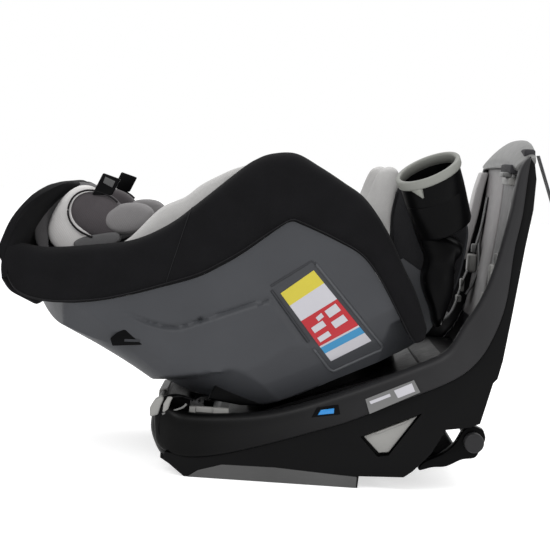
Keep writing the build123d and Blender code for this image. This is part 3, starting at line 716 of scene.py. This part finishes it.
# The vent slot is a black block in the grey shell for the shade in its opening, with a darker lip for the shade
# under its edge: painted shade.
SHELL_SLOT = {
    "shell_slot": ([(-322, 202), (-313, 211), (-302, 218), (-271, 217), (-270, 196), (-318, 191)], (150, 218),
                   "trim", 1.5, "shell_grey", None),
    "shell_slot_lip": ([(-300, 199), (-300, 203), (-276, 204), (-276, 200)], (206, 219.6), "shell_shaded", 1,
                       "shell_grey", None),
}
# A black strip where the shell curves under, just above the rail: painted shade.
UNDER_SHADE_STRIP = [(-156, 146), (-140, 140), (-79, 108), (-120, 106), (-170, 112)]


def shell_details(side, name):
    """Vent slot, label frame and lower black strip on a side of the bucket, with painted shade in the slot and
    strip and painted highlight and shade on the frame.
    """
    side_plates(SHELL_SLOT, "seat", side, name)
    centre = LABEL.mean(axis=0)
    ring = [centre + (p - centre) * (1 + 15 / np.linalg.norm(p - centre)) for p in LABEL]
    frame_line = np.vstack([ring[k] + (ring[(k + 1) % 4] - ring[k]) * np.linspace(0.04, 0.96, 12)[:, None]
                            for k in range(4)])
    # The rim is one grey moulding: its lighter run is painted highlight, its darker runs painted shade.
    parts = (("light", frame_line[12:40], "shell_light"), ("dark", frame_line[40:], "shell_shaded"),
             ("top", frame_line[:13], "shell_shaded"))
    for tag, part, material in parts:
        line = spline(part, 50)
        bead = [(x, side * y, z) for (x, z), y in zip(line, on_side(line, 217.4))]
        place(tube(f"label_frame_{tag}_{name}", bead, 2.2, material, 8), "seat", "shell_grey")
    # the painted shade strip under the shell's curve
    place(prism(f"shell_under_shade_{name}", UNDER_SHADE_STRIP, side * 130, side * 168, "trim", 3), "seat", "shell_grey")


shell_piece()
hood_piece()
for side, name in SIDES:
    cover_piece(side, name)
    liner_piece(side, name)
    bolster_piece(side, name)
    label_piece(side, name)
    shell_details(side, name)
    hood_corner(side, name)
leg_end()


# ---- headrest, cushions and harness ----
# The head's pads are ovals in the back frame: middle, radii, squareness and tilt in degrees.
LIGHT_OVAL = ((356, 66), (38, 57), 2.3, 0)
CHARCOAL_OVAL = ((334, 89), (44, 35), 2.2, -8)
MIDDLE_OVAL = ((288, 110), (40, 24), 2.2, -38)
FLAT_OVAL = ((311, 54), (37, 11), 3.0, -43)
LINING_OVAL = ((372, 60), (42, 64), 2.0, 0)
CROWN_GUIDES = {
    "crown_guide": ([(328, 128), (330, 156), (358, 150), (355, 112)], (139, 145), "trim", 2, "trim_black",
                    "crown_belt_guides"),
    "crown_guide_slot": ([(334, 138), (335, 149), (352, 147), (350, 137)], (144.6, 145.6), "under", 1,
                         "trim_black", None),
}
CROWN_HALF_WIDTH, CROWN_FOOT, CROWN_HEIGHT, CROWN_SQUARENESS = 117, 12, 84, 3.3


def oval(shape, start=0, end=360, count=72):
    """Points along a rounded oval, from one angle to another."""
    (s, w), (along, out), squareness, tilt = shape
    angles = np.radians(np.linspace(start, end, count, endpoint=end - start < 360))
    across = along * np.sign(np.cos(angles)) * np.abs(np.cos(angles)) ** (2 / squareness)
    up = out * np.sign(np.sin(angles)) * np.abs(np.sin(angles)) ** (2 / squareness)
    c, d = math.cos(math.radians(tilt)), math.sin(math.radians(tilt))
    return np.stack([s + across * c - up * d, w + across * d + up * c], axis=1)


def crown_arch(count=60):
    """The arch of the crown's wall, from one foot over the head to the other."""
    y = CROWN_HALF_WIDTH * np.sin(np.linspace(-math.pi / 2, math.pi / 2, count))
    rise = (1 - np.abs(y / CROWN_HALF_WIDTH) ** CROWN_SQUARENESS) ** (1 / CROWN_SQUARENESS)
    return [(a, CROWN_FOOT + CROWN_HEIGHT * b) for a, b in zip(y, rise)]


LINING_TOP, LINING_REACH, LINING_DEPTH = 116, 143, 26


def lining():
    """The crown's lining: an arch that follows an oval up one side and down the other."""
    side = oval(LINING_OVAL, -78, 80, 40)
    section = ((LINING_DEPTH, -2), (LINING_DEPTH * 0.6, 1.5), (2.5, 1.5), (0, -1), (0, -7), (4, -11),
               (LINING_DEPTH, -12))
    rows = []
    for sign in (-1, 1):
        part = []
        for i, (s, w) in enumerate(side):
            t = i / (len(side) - 1)
            y = LINING_REACH * math.cos(t * math.pi / 2) ** 0.6 if t < 1 else 0.0
            lift = (LINING_TOP - side[-1][1]) * t ** 3
            row = []
            for inward, out in section:
                across = sign * max(y + out * (1 - t), 0.0)
                row.append(on_back((s - inward, across, w + lift + out * t * 0.7)))
            part.append(row)
        rows += part if sign < 0 else part[-2::-1]
    band = loft("crown_lining", rows, "lining", levels=1)
    soft(band, "headrest", "charcoal_fabric", ["headrest_liner"])


# oval, span across, material, bevel, cloth pressure and its limit, slot, and if it replaces the CAD's pad
HEAD_PADS = {
    "crown_pad": (LIGHT_OVAL, (112, 138), "pale", 7, (3.0, 3.0), "light_fabric", False),
    "wing_pad": (CHARCOAL_OVAL, (98, 142), "charcoal", 8, (4.0, 3.5), "charcoal_fabric", True),
    "wing_front": (MIDDLE_OVAL, (97, 145), "middle", 8, (4.0, 3.5), "light_fabric", False),
    "wing_base": (FLAT_OVAL, (118, 143), "flat", 4, None, "charcoal_fabric", False),
}


def head_pads(side, name):
    """The layered pads beside the head."""
    for tag, (shape, (low, high), material, bevel, filling, slot, stands) in HEAD_PADS.items():
        pad = prism(f"{tag}_{name}", oval(shape), side * low, side * high, material, bevel, on_back)
        if filling:
            swell(pad, *filling, 4.5)
            subdivide(pad, 1)
        soft(pad, "headrest", slot, [f"{tag}_{name}"] if stands else ())


PILLOW = [(244, 12), (238, 22), (246, 33), (300, 36), (350, 32), (358, 22), (352, 12)]
HANDLE = [(392.6, -10), (395.4, -10), (395.4, 2), (392.6, 2)]


def headrest_pieces():
    """Everything on the sliding headrest."""
    lining()
    crown = prism("crown_wall", crown_arch(), 366, 384, "slate", 6,
                  place=lambda v: on_back((v[1], v[0], v[2])))
    soft(crown, "headrest", "charcoal_fabric")
    pillow = prism("head_pillow", PILLOW, -88, 88, "cream", 8, on_back)
    stuffed(pillow, 4.0, 4.0, 5.0, "headrest", "light_fabric", ["head_pillow"])
    for side, name in SIDES:
        head_pads(side, name)
        bead = [on_back((s, side * 143.5, w)) for s, w in oval(CHARCOAL_OVAL, -100, 120, 60)]
        place(tube(f"wing_piping_{name}", bead, 1.6, "pipe", 8), "headrest")
        side_plates(CROWN_GUIDES, "headrest", side, name, on_back)
    handle = prism("headrest_handle", HANDLE, -30, 30, "trim", 1, on_back)
    place(handle, "headrest_handle", "trim_black", ["headrest_handle"])


BACK_FOAM_RUN, BACK_FOAM_DEPTH = (97, 283), (-69.5, -45.5)
BACK_FOAM_STRIPS = ((-143, -75), (-45, 45), (75, 143))  # the headrest's posts run between them
PAN_FOAM_HALF = 129
PAN_FOAM = [(-73, 133), (100, 223), (136, 239), (154, 257), (168, 284), (183, 322), (187, 378), (170, 390),
            (131, 323), (83, 270), (15, 215), (-45, 179), (-85, 163)]


def foam_pieces():
    """The blocks of foam under the cushions, out of sight."""
    for index, (low, high) in enumerate(BACK_FOAM_STRIPS):
        spans = (BACK_FOAM_RUN, (low, high), BACK_FOAM_DEPTH)
        strip = box_piece(f"back_foam_strip_{index}", spans, "foam", 3, on_back)
        soft(strip, "seat", "foam", ["back_foam"] if index == 1 else ())
    block = prism("pan_foam_block", PAN_FOAM, -PAN_FOAM_HALF, PAN_FOAM_HALF, "foam", 3)
    soft(block, "seat", "foam", ["pan_foam"])


BACK_CUSHION = [(44, -42), (40, -28), (48, -18), (160, -16), (278, -18), (284, -28), (280, -42)]
SEAT_UNDER = [(166, 392), (128, 326), (80, 274), (12, 220), (-48, 184), (-88, 168)]
SEAT_TOP = [(-92, 188), (-50, 203), (6, 237), (72, 289), (118, 339), (152, 397)]


def pads():
    """Back and seat cushions, filled by cloth and quilted with fine seams."""
    back = prism("back_cushion", BACK_CUSHION, -146, 146, "cream", 8, on_back)
    stuffed(back, 4.0, 3.0, 6.0, "seat", "light_fabric", ["back_pad"])
    outline = np.vstack([spline(SEAT_UNDER, 30), spline(SEAT_TOP, 30)])
    seat = prism("seat_cushion", outline, -128, 128, "cream", 7)
    stuffed(seat, 4.0, 3.0, 6.0, "seat", "light_fabric", ["seat_pad"])
    for index, y in enumerate((-84, 84)):
        way = [(x, y, z + 1.6) for x, z in spline(SEAT_TOP, 40)]
        place(tube(f"seat_seam_{index}", way, 0.8, "thread", 6), "seat")
        way = [on_back((s, y * 1.1, -14.6)) for s in np.linspace(50, 276, 30)]
        place(tube(f"back_seam_{index}", way, 0.8, "thread", 6), "seat")


SHOULDER_PAD = [(142, -14), (140, -9), (146, -6), (220, -6), (226, -9), (224, -14)]


def harness():
    """Shoulder straps, their pads, chest clip, buckle and crotch strap."""
    for side, name in SIDES:
        y = side * 48
        stops = ((232, y, -15.4), (200, y, -14.4), (140, y, -14.4), (96, y * 0.9, -14), (72, y * 0.8, -13))
        way = spline([on_back(v) for v in stops], 30)
        strap = ribbon(f"harness_strap_{name}", way, (0, 1, 0), 38, 1.6, "webbing")
        place(strap, "seat", "webbing", ["harness_straps"] if side < 0 else ())
        pad = prism(f"shoulder_pad_{name}", SHOULDER_PAD, y - 28, y + 28, "charcoal", 2.5, on_back)
        soft(pad, "seat", "charcoal_fabric", ["shoulder_pads"] if side < 0 else ())
        half = prism(f"chest_clip_{name}", [(104, -13.4), (132, -13.4), (130, -6.4), (106, -6.4)], side * 3,
                     side * 70, "trim", 2, place=on_back)
        place(half, "seat", "trim_black", ["chest_clip"] if side < 0 else ())
    latch = prism("chest_clip_latch", [(109, -12), (127, -12), (125, -5.4), (111, -5.4)], -7, 7, "light", 1.6,
                  place=on_back)
    place(latch, "seat", "light_plastic")
    case = [(10, 0.6), (12, 16), (20, 20), (46, 20), (56, 15), (56, 0.6)]
    place(prism("buckle_case", case, -27, 27, "trim", 3.5, place=on_pan), "seat", "trim_black", ["buckle"])
    button = [(23, 14), (23, 21.4), (33, 22.6), (43, 21.4), (43, 14)]
    press = prism("buckle_press", button, -11, 11, "red_button", 1.6, on_pan)
    place(press, "buckle_button", "red_plastic", ["buckle_button"])
    for index, (low, high) in enumerate(((-26, -4), (4, 26))):
        plate = [(56.2, 8), (72, 8), (72, 12), (56.2, 12)]
        tongue = prism(f"buckle_tongue_{index}", plate, low, high, "steel", 1.2, on_pan)
        place(tongue, "seat", "steel", ["buckle_tongues"] if index == 0 else ())
    way = [on_pan((s, 0, 1.4)) for s in np.linspace(-14, 9.6, 12)]
    crotch = ribbon("crotch_webbing", way, (0, 1, 0), 38, 1.8, "webbing")
    place(crotch, "seat", "webbing", ["crotch_strap"])
    place(box_piece("harness_adjuster", ((166, 190), (-26, 26), (399, 411)), "trim", 3), "seat", "trim_black",
          ["harness_adjuster"])
    place(box_piece("adjuster_button", ((171, 185), (-14, 14), (406, 415)), "light", 2), "adjuster_button",
          "light_plastic", ["adjuster_button"])
    tail = ribbon("adjuster_webbing", [(192, 0, z) for z in np.linspace(400, 340, 16)], (0, 1, 0), 27, 1.8,
                  "webbing")
    place(tail, "seat", "webbing", ["adjuster_strap"])


# ---- cup holder ----
CUP_AT = np.array([140.0, -212.0, 490.0])
CUP_UP = np.array([-math.tan(math.radians(27)), -math.tan(math.radians(18)), 1.0])
CUP_UP /= np.linalg.norm(CUP_UP)
CUP_RIGHT = np.cross([0.0, 1.0, 0.0], CUP_UP)
CUP_RIGHT /= np.linalg.norm(CUP_RIGHT)
CUP_BACK = np.cross(CUP_UP, CUP_RIGHT)


def on_cup(radius, turn, height):
    sheer = 0.09 * height * CUP_RIGHT
    around = math.cos(turn) * CUP_RIGHT + math.sin(turn) * CUP_BACK
    return CUP_AT + radius * around + height * CUP_UP + sheer


def turned(name, profile, material, sides=96):
    """A closed profile of (radius, height) turned about the cup's axis."""
    rows = [[on_cup(r, t, h) for r, h in profile] for t in np.linspace(0, 2 * math.pi, sides + 1)]
    return loft(name, rows, material, caps=False)


CUP_ARM = [(128, 404), (160, 398), (200, 386), (208, 372), (198, 356), (197, 330), (197, 300), (188, 268),
           (180, 247), (170, 252), (163, 276), (152, 300), (146, 324), (150, 352), (138, 380)]
TAB_ROWS = ((-6, -14, 12), (-12, -8, 11), (-18, 0, 10), (-24, 7, 9.5))  # depth, then the ends of its arc


def cup_pieces():
    """The cup, its banded rim with a tapered tab, and the arm that carries it."""
    wall = [(44.5, 1), (46, 2.6), (48, 1), (47.7, -6), (47.3, -40), (46.6, -41), (46.6, -43), (47.0, -44.4),
            (44.2, -92), (42.6, -96), (39, -98), (0.01, -98), (0.01, -94), (37, -94), (40, -92), (41, -88)]
    body = turned("cup_body", wall, "trim")
    place(bevelled(body, 0.4, 2, 40), "seat", "trim_black", ["cup"])
    band = [(48.2, -9.5), (50.6, -9.5), (51.6, -7), (51.6, 1.5), (50.4, 3.4), (47.2, 3.8), (44.4, 3.0),
            (44.0, 0), (44.0, -14), (45.0, -14), (45.4, 0.2), (48.2, 0.6)]
    place(turned("cup_band", band, "ring"), "seat", "light_plastic", ["cup_ring"])
    tab_rows = []
    for depth, low, high in TAB_ROWS:
        row = []
        for t, r in ((0, 48.4), (0.2, 51), (0.8, 51), (1, 48.4)):
            angle = math.radians(-90) + (-33 + low + (high - low) * t) / 50
            row.append(on_cup(r, angle, depth))
        tab_rows.append(row)
    place(loft("cup_tab", tab_rows, "ring"), "seat", "light_plastic")
    arm = rounded(CUP_ARM, 90)
    rows = []
    centre = np.array([176.0, 330.0])
    for y, grow in ((-142.4, 1.0), (-160, 0.99), (-176, 0.95), (-186, 0.88), (-191, 0.78)):
        rows.append([at_width(centre + (p - centre) * grow, y) for p in arm])
    place(loft("cup_arm", rows, "trim"), "seat", "trim_black", ["cup_bracket"])
    ridge = spline([(150, 318), (164, 300), (180, 306), (196, 340)], 30)
    place(tube("cup_arm_ridge", [(x, -186, z) for x, z in ridge], 1.4, "trim", 8), "seat")


headrest_pieces()
foam_pieces()
pads()
harness()
cup_pieces()


# ---- the base ----
RAIL_TOP = [(-252, 108), (-230, 104), (-200, 97), (-150, 98), (-88, 105), (-28, 121), (61, 156), (145, 194),
            (188, 218), (211, 258), (234, 299), (252, 353), (267, 430), (272, 470), (277, 500), (284, 514),
            (289, 519)]
RAIL_CREASE = [(-246, 50), (-231, 36), (-190, 30), (-143, 37), (-81, 55), (-17, 77), (46, 100), (121, 135),
               (196, 171), (233, 201), (256, 241), (272, 297), (278, 376), (286, 429), (290, 490),
               (292, 519)]
SKIRT_FOOT = [(-230, 30), (-222, 19), (-209, 9), (-197, 0), (-60, 0), (68, 0), (69, 18), (137, 21),
              (150, 31), (176, 60), (196, 98), (232, 104), (247, 111), (254, 140), (262, 174), (268, 181),
              (274, 209), (283, 283), (294, 381), (302, 440), (303, 486), (299, 508), (291, 519)]
WINDOW = [(67, 79), (158, 121), (112, 53), (95, 50)]
RAIL_SECTION = [(0.02, 200), (0.0, 206), (-0.01, 214), (0.03, 222), (0.12, 227), (0.4, 229.5), (0.75, 228.5),
                (0.97, 226.0), (1.0, 223.5), (0.99, 214), (0.97, 202)]


def rail_piece(side, name):
    """The rail that sweeps from the nose up into the rebound leg."""
    upper, lower = matched(RAIL_TOP, RAIL_CREASE, 110)
    rows = []
    for a, b in zip(upper, lower):
        nose_in = 22 * (1 - smoothstep(-256, -200, (a[0] + b[0]) / 2)) ** 1.5
        rows.append([at_width(a + (b - a) * f, side * (y - nose_in)) for f, y in RAIL_SECTION])
    rail = loft(f"side_rail_{name}", rows, "rail", levels=1)
    place(rail, "base", "rail_grey", [f"side_rail_{name}"])


SKIRT_PLATES = {
    "lower_panel": ([(-192, -0.2), (66, -0.2), (66, 17), (20, 19), (-60, 23), (-140, 22), (-176, 11)],
                    (216, 223), "under", 1.5, "base_black", None),
    "belt_guide": ([(72, 79), (152, 116), (112, 57), (97, 55)], (208, 216), "light", 1.5, "light_plastic",
                   "belt_guides"),
    "belt_guide_rib": ([(88, 86), (140, 110), (134, 104), (92, 84)], (214, 218), "light", 1,
                       "light_plastic", None),
}


def skirt_piece(side, name):
    """The darker lower wall below the rail's crease."""
    crease = spline([(-228, 36)] + RAIL_CREASE[2:], 90)
    outline = np.vstack([crease, np.array(SKIRT_FOOT[::-1])])
    wall = prism(f"side_skirt_{name}", outline, side * 200, side * 221.5, "base", 3)
    cutter = prism("window_cutter", WINDOW, side * 208, side * 240, "base", 0)
    cut = wall.modifiers.new("Boolean", "BOOLEAN")
    cut.object = cutter
    cut.operation = "DIFFERENCE"
    cut.solver = "EXACT"
    apply_modifiers(wall)
    wall.data.shade_smooth()
    wall.data.set_sharp_from_angle(angle=math.radians(35))
    bpy.data.objects.remove(cutter)
    place(wall, "base", "base_black", [f"side_skirt_{name}"])
    side_plates(SKIRT_PLATES, "base", side, name)


NOSE_FRONT = [(-253, 94), (-254, 84), (-254, 66), (-248, 47), (-236, 27), (-213, 9), (-196, 2)]
NOSE_MIDDLE = [(-196, 82), (-214, 84), (-228, 91), (-238, 104), (-246, 107), (-251, 101)] + NOSE_FRONT
NOSE_CORNER = [(-196, 118), (-214, 122), (-230, 121), (-240, 117), (-247, 110), (-251, 103)] + NOSE_FRONT


NOSE_LIP = [(-236, 92), (-222, 97), (-206, 104), (-200, 110)]
NOSE_GRIPS = {
    "nose_grip": ([(-238, 119), (-249, 113), (-256, 100), (-255, 86), (-242, 90), (-239, 104), (-235, 114)],
                  (192, 213), "light", 3, "light_plastic", None),
    "nose_grip_inner": ([(-229, 119), (-235, 108), (-236, 94), (-228, 96), (-225, 110), (-221, 119)],
                        (198, 216), "light", 2.5, "light_plastic", None),
}


def nose_piece():
    """The rounded cap that closes the base's head end, with its corner lugs and handle openings."""
    middle, corner = matched(NOSE_MIDDLE, NOSE_CORNER, 48)
    edge = np.linspace(180, 214, 18)
    spans = np.concatenate([-edge[::-1], np.linspace(-174, 174, 21), edge])
    rows = []
    for low, high in zip(middle, corner):
        row = []
        for y in spans:
            x, z = low + (high - low) * smoothstep(186, 199, abs(y))
            fall = 15 * max(0.0, (abs(y) - 184) / 30) ** 2.2
            row.append((x + fall * (0.4 + 0.6 * (x < -214)), y, z))
        rows.append(row)
    cap = loft("nose_cap", rows, "trim", closed=False, caps=False)
    thick = cap.modifiers.new("Solidify", "SOLIDIFY")
    thick.thickness = 3 * MM
    thick.offset = -1
    apply_modifiers(cap)
    cap.data.shade_smooth()
    place(cap, "base", "base_black", ["nose_cap"])
    for side, name in SIDES:
        side_plates(NOSE_GRIPS, "base", side, name)
        lip = [at_width(p, side * 215.5) for p in spline(NOSE_LIP, 20)]
        place(tube(f"nose_grip_lip_{name}", lip, 1.6, "cap", 8), "base", "light_plastic")


CAP_HALF = 205
CAP_PROFILE = [(277, 500), (273, 512), (280, 526), (291, 539), (302, 547), (310, 546), (313, 536), (309, 516),
               (304, 503)]
CAP_BOXES = {
    "cap_recess": (((287, 304), (-188, -146), (512, 531)), "slate", 4, "rail_grey"),
    "cap_lever": (((262, 276), (-150, -104), (486, 494)), "cap", 2.5, "light_plastic"),
    "cap_lever_clip": (((270, 286), (-170, -60), (492, 506)), "slate", 3, "light_plastic"),
    "cap_lever_plate": (((272, 284), (-150, -70), (474, 486)), "light", 2, "light_plastic"),
}


def panel_piece():
    """The rebound panel: black back, light inner plates and the arched cap."""
    back = [(262, 196), (270, 206), (278, 283), (290, 381), (298, 440), (299, 500), (290, 508), (285, 440),
            (279, 381), (268, 290), (258, 236)]
    place(prism("rebound_panel", rounded(back, 90), -201, 201, "rail", 3), "base", "rail_grey",
          ["rebound_panel"])
    face = spline([(257, 246), (264, 290), (275, 381), (280, 440), (283, 500)], 24)
    rear = spline([(261, 246), (268, 290), (279, 381), (284, 440), (287, 500)], 24)
    # Both plates are the one light plastic; the near plate's darker grey is painted shade.
    for name, low, high, material in (("near", -196, -26, "panel_shaded"), ("far", -14, 190, "panel_far")):
        outline = np.vstack([face, rear[::-1]])
        plate = prism(f"panel_plate_{name}", outline, low, high, material, 1.4)
        place(plate, "base", "light_plastic", ["panel_plates"] if name == "near" else ())
    edge = spline([(259, 262), (268, 320), (276, 381), (282, 440), (284, 470)], 24)
    place(tube("panel_edge", [(x - 4, -176, z) for x, z in edge], 4, "light", 8), "base", "light_plastic")
    cover = spline([(240, 338), (255, 420), (262, 462), (270, 492)], 30)
    inner = spline([(254, 338), (270, 420), (276, 462), (282, 492)], 30)
    far_cover = prism("leg_cover_far", np.vstack([cover, inner[::-1]]), 176, 225, "panel", 2.5)
    place(far_cover, "base", "light_plastic")
    rows = []
    for y in np.linspace(-CAP_HALF, CAP_HALF, 61):
        side = abs(y) / CAP_HALF
        sink = 17 * side ** 2.6
        shrink = 1 - 0.28 * side ** 3
        rows.append([(294 + (x - 294) * shrink - 5 * side ** 2, y,
                      500 + (z - 500) * shrink - sink * (z - 490) / 57) for x, z in rounded(CAP_PROFILE, 40)])
    place(loft("panel_cap", rows, "cap"), "base", "light_plastic", ["panel_cap"])
    for name, (spans, material, bevel, slot) in CAP_BOXES.items():
        place(box_piece(name, spans, material, bevel), "base", slot)


ANCHOR_BOXES = {
    "case": ((252, 268), 13, (318, 350), "light", 4, "steel"),
    "button": ((258, 270), 9, (352, 368), "cap", 3, "light_plastic"),
    "tongue": ((243, 250), 10, (284, 306), "light", 2, "steel"),
    "slider": ((238, 246), 14, (266, 277), "light", 2, "steel"),
}


def stowed_straps():
    """Anchor webbing and its connectors, stowed against the foot of the panel."""
    for side, name in SIDES:
        y = side * 150
        way = spline([(279, y, 450), (273, y, 400), (266, y, 366), (262, y + 6, 340), (250, y - 4, 310),
                      (244, y + 4, 285), (236, y - 12, 262), (226, y - 26, 244), (216, y - 4, 232),
                      (228, y + 14, 244)], 70)
        place(ribbon(f"stowed_webbing_{name}", way, (0, 1, 0), 25, 1.8, "webbing"), "base", "webbing")
        fold = spline([(268, y - 20, 370), (270, y - 22, 330), (262, y - 24, 300), (252, y - 20, 280)], 30)
        place(ribbon(f"stowed_fold_{name}", fold, (0, 1, 0), 25, 1.8, "webbing"), "base", "webbing")
        for tag, (along, half, height, material, bevel, slot) in ANCHOR_BOXES.items():
            box = box_piece(f"anchor_{tag}_{name}", (along, (y - half, y + half), height), material, bevel)
            place(box, "base", slot)


# outline, span across, material, bevel, slot and CAD node
RAIL_TRIM = {
    "level_bezel": ([(-10, 104), (-2, 120), (30, 127), (34, 112)], (227, 229.6), "trim", 1.5, "base_black",
                    None),
    "level_window": ([(0, 109), (4, 117), (24, 121), (24, 113)], (229, 230.6), "blue", 1, "blue_lens",
                     "level_windows"),
    "rail_label": ([(70, 138), (141, 172), (152, 154), (78, 116)], (229.4, 230.2), "label_grey", 0,
                   "label_print", "rail_labels"),
    "rail_label_box": ([(112, 154), (138, 167), (144, 155), (119, 143)], (230.1, 230.7), "label_white", 0,
                       "label_print", None),
    "rail_label_line": ([(76, 135), (106, 149), (108, 145), (79, 131)], (230.1, 230.7), "label_white", 0,
                        "label_print", None),
}


FOOT_ARM = [(256, 98), (260, 84), (252, 64), (245, 54), (226, 50), (203, 38), (182, 35), (161, 29), (168, 42),
            (196, 57), (214, 74), (226, 96), (240, 103)]
FOOT_BAR = [(226, 52), (203, 39), (182, 36), (161, 29), (168, 42), (196, 57), (216, 66)]


def foot_piece():
    """The pivoting rear foot: cheeks, hubs and a rounded cross bar."""
    arm = rounded(FOOT_ARM, 70)
    bar = rounded(FOOT_BAR, 50)
    pieces = [prism("rear_foot_bar", bar, -178, 178, "trim", 3)]
    for side, name in SIDES:
        pieces.append(prism(f"rear_foot_cheek_{name}", arm, side * 176, side * 198, "trim", 4))
        hub = [(240 + 15 * math.cos(t), 81 + 15 * math.sin(t)) for t in np.linspace(0, 2 * math.pi, 40)[:-1]]
        outer = prism(f"rear_foot_hub_{name}", hub, side * 206, side * 227, "rail", 3)
        place(outer, "base", "base_black")
    for piece in pieces:
        place(piece, "rear_foot", "trim_black", ["rear_foot"] if piece is pieces[0] else ())


def strap_piece():
    """The taut anchor strap from the panel's cap to its hook."""
    start, end = np.array([309.6, 522.0]), np.array([364.6, 378.0])
    path = [at_width(start + (end - start) * t, -175.5) for t in (0, 0.3, 0.6, 1)]
    strap = ribbon("anchor_strap", spline(path, 24), (0, 1, 0), 25, 1.8, "strap")
    place(strap, "base", "webbing", ["tether_strap"])
    [tuple(c * MM for c in p) for p in spline(path, 24)]


for side, name in SIDES:
    rail_piece(side, name)
    skirt_piece(side, name)
    side_plates(RAIL_TRIM, "base", side, name)
nose_piece()
panel_piece()
stowed_straps()
foot_piece()
strap_piece()


# ---- materials of the CAD solids that stay in view ----
CAD_MATERIALS = {
    "base_tray": "base", "grip_strips": "rubber", "bowl_liner": "rail", "recline_handle": "light",
    "swivel_release": "light", "release_frame": "light", "rear_foot_pin": "steel", "rear_foot_bushes": "rubber",
    "recline_carriage": "rail", "bearing_ring": "base", "turntable": "trim", "post_guides": "trim",
    "belt_lock_offs": "light", "headrest_shell": "trim", "tether_hook": "steel",
}


def cad_materials():
    for node, material in CAD_MATERIALS.items():
        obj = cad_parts[node]
        obj.data.materials.clear()
        obj.data.materials.append(M[material])


cad_materials()


# ---- stage, light and camera ----
def stage():
    bpy.ops.mesh.primitive_plane_add(size=30, location=(0, 0, -0.0005))
    floor = bpy.context.object
    floor.name = "floor"
    pale = Recipe("floor_pale").finish({"Base Color": (0.6, 0.6, 0.6, 1), "Roughness": 0.9,
                                        "Emission Color": (1, 1, 1, 1), "Emission Strength": 0.62})
    floor.data.materials.append(pale)
    world = bpy.data.worlds.new("studio")
    bpy.context.scene.world = world
    world.use_nodes = True
    world.node_tree.nodes["Background"].inputs["Color"].default_value = (1, 1, 1, 1)
    world.node_tree.nodes["Background"].inputs["Strength"].default_value = 1.0


def light(name, at, size, power, target=(0, 0, 0.25)):
    data = bpy.data.lights.new(name, "AREA")
    data.shape = "RECTANGLE"
    data.size, data.size_y = size
    data.energy = power
    lamp = bpy.data.objects.new(name, data)
    bpy.context.scene.collection.objects.link(lamp)
    lamp.location = at
    aim = Vector(target) - Vector(at)
    lamp.rotation_euler = aim.to_track_quat("-Z", "Y").to_euler()


CAMERA_AT = Vector((-0.079, -2.628, 0.484))
CAMERA_PITCH = math.radians(4.0)
CAMERA_ROLL = math.radians(3.9)
CAMERA_LENS = 104.7


def camera():
    data = bpy.data.cameras.new("camera")
    data.lens = CAMERA_LENS
    data.sensor_width = 36
    eye = bpy.data.objects.new("camera", data)
    bpy.context.scene.collection.objects.link(eye)
    turn = Matrix.Rotation(math.radians(90) - CAMERA_PITCH, 4, "X") @ Matrix.Rotation(CAMERA_ROLL, 4, "Z")
    eye.matrix_world = Matrix.Translation(CAMERA_AT) @ turn
    bpy.context.scene.camera = eye
    bpy.context.scene.view_settings.view_transform = "Standard"


stage()
light("key", (-1.2, -2.2, 2.4), (1.6, 1.2), 42)
light("fill", (1.8, -1.8, 1.2), (1.4, 1.4), 16)
light("top", (0.2, 0.6, 2.6), (2.2, 1.6), 30)
camera()
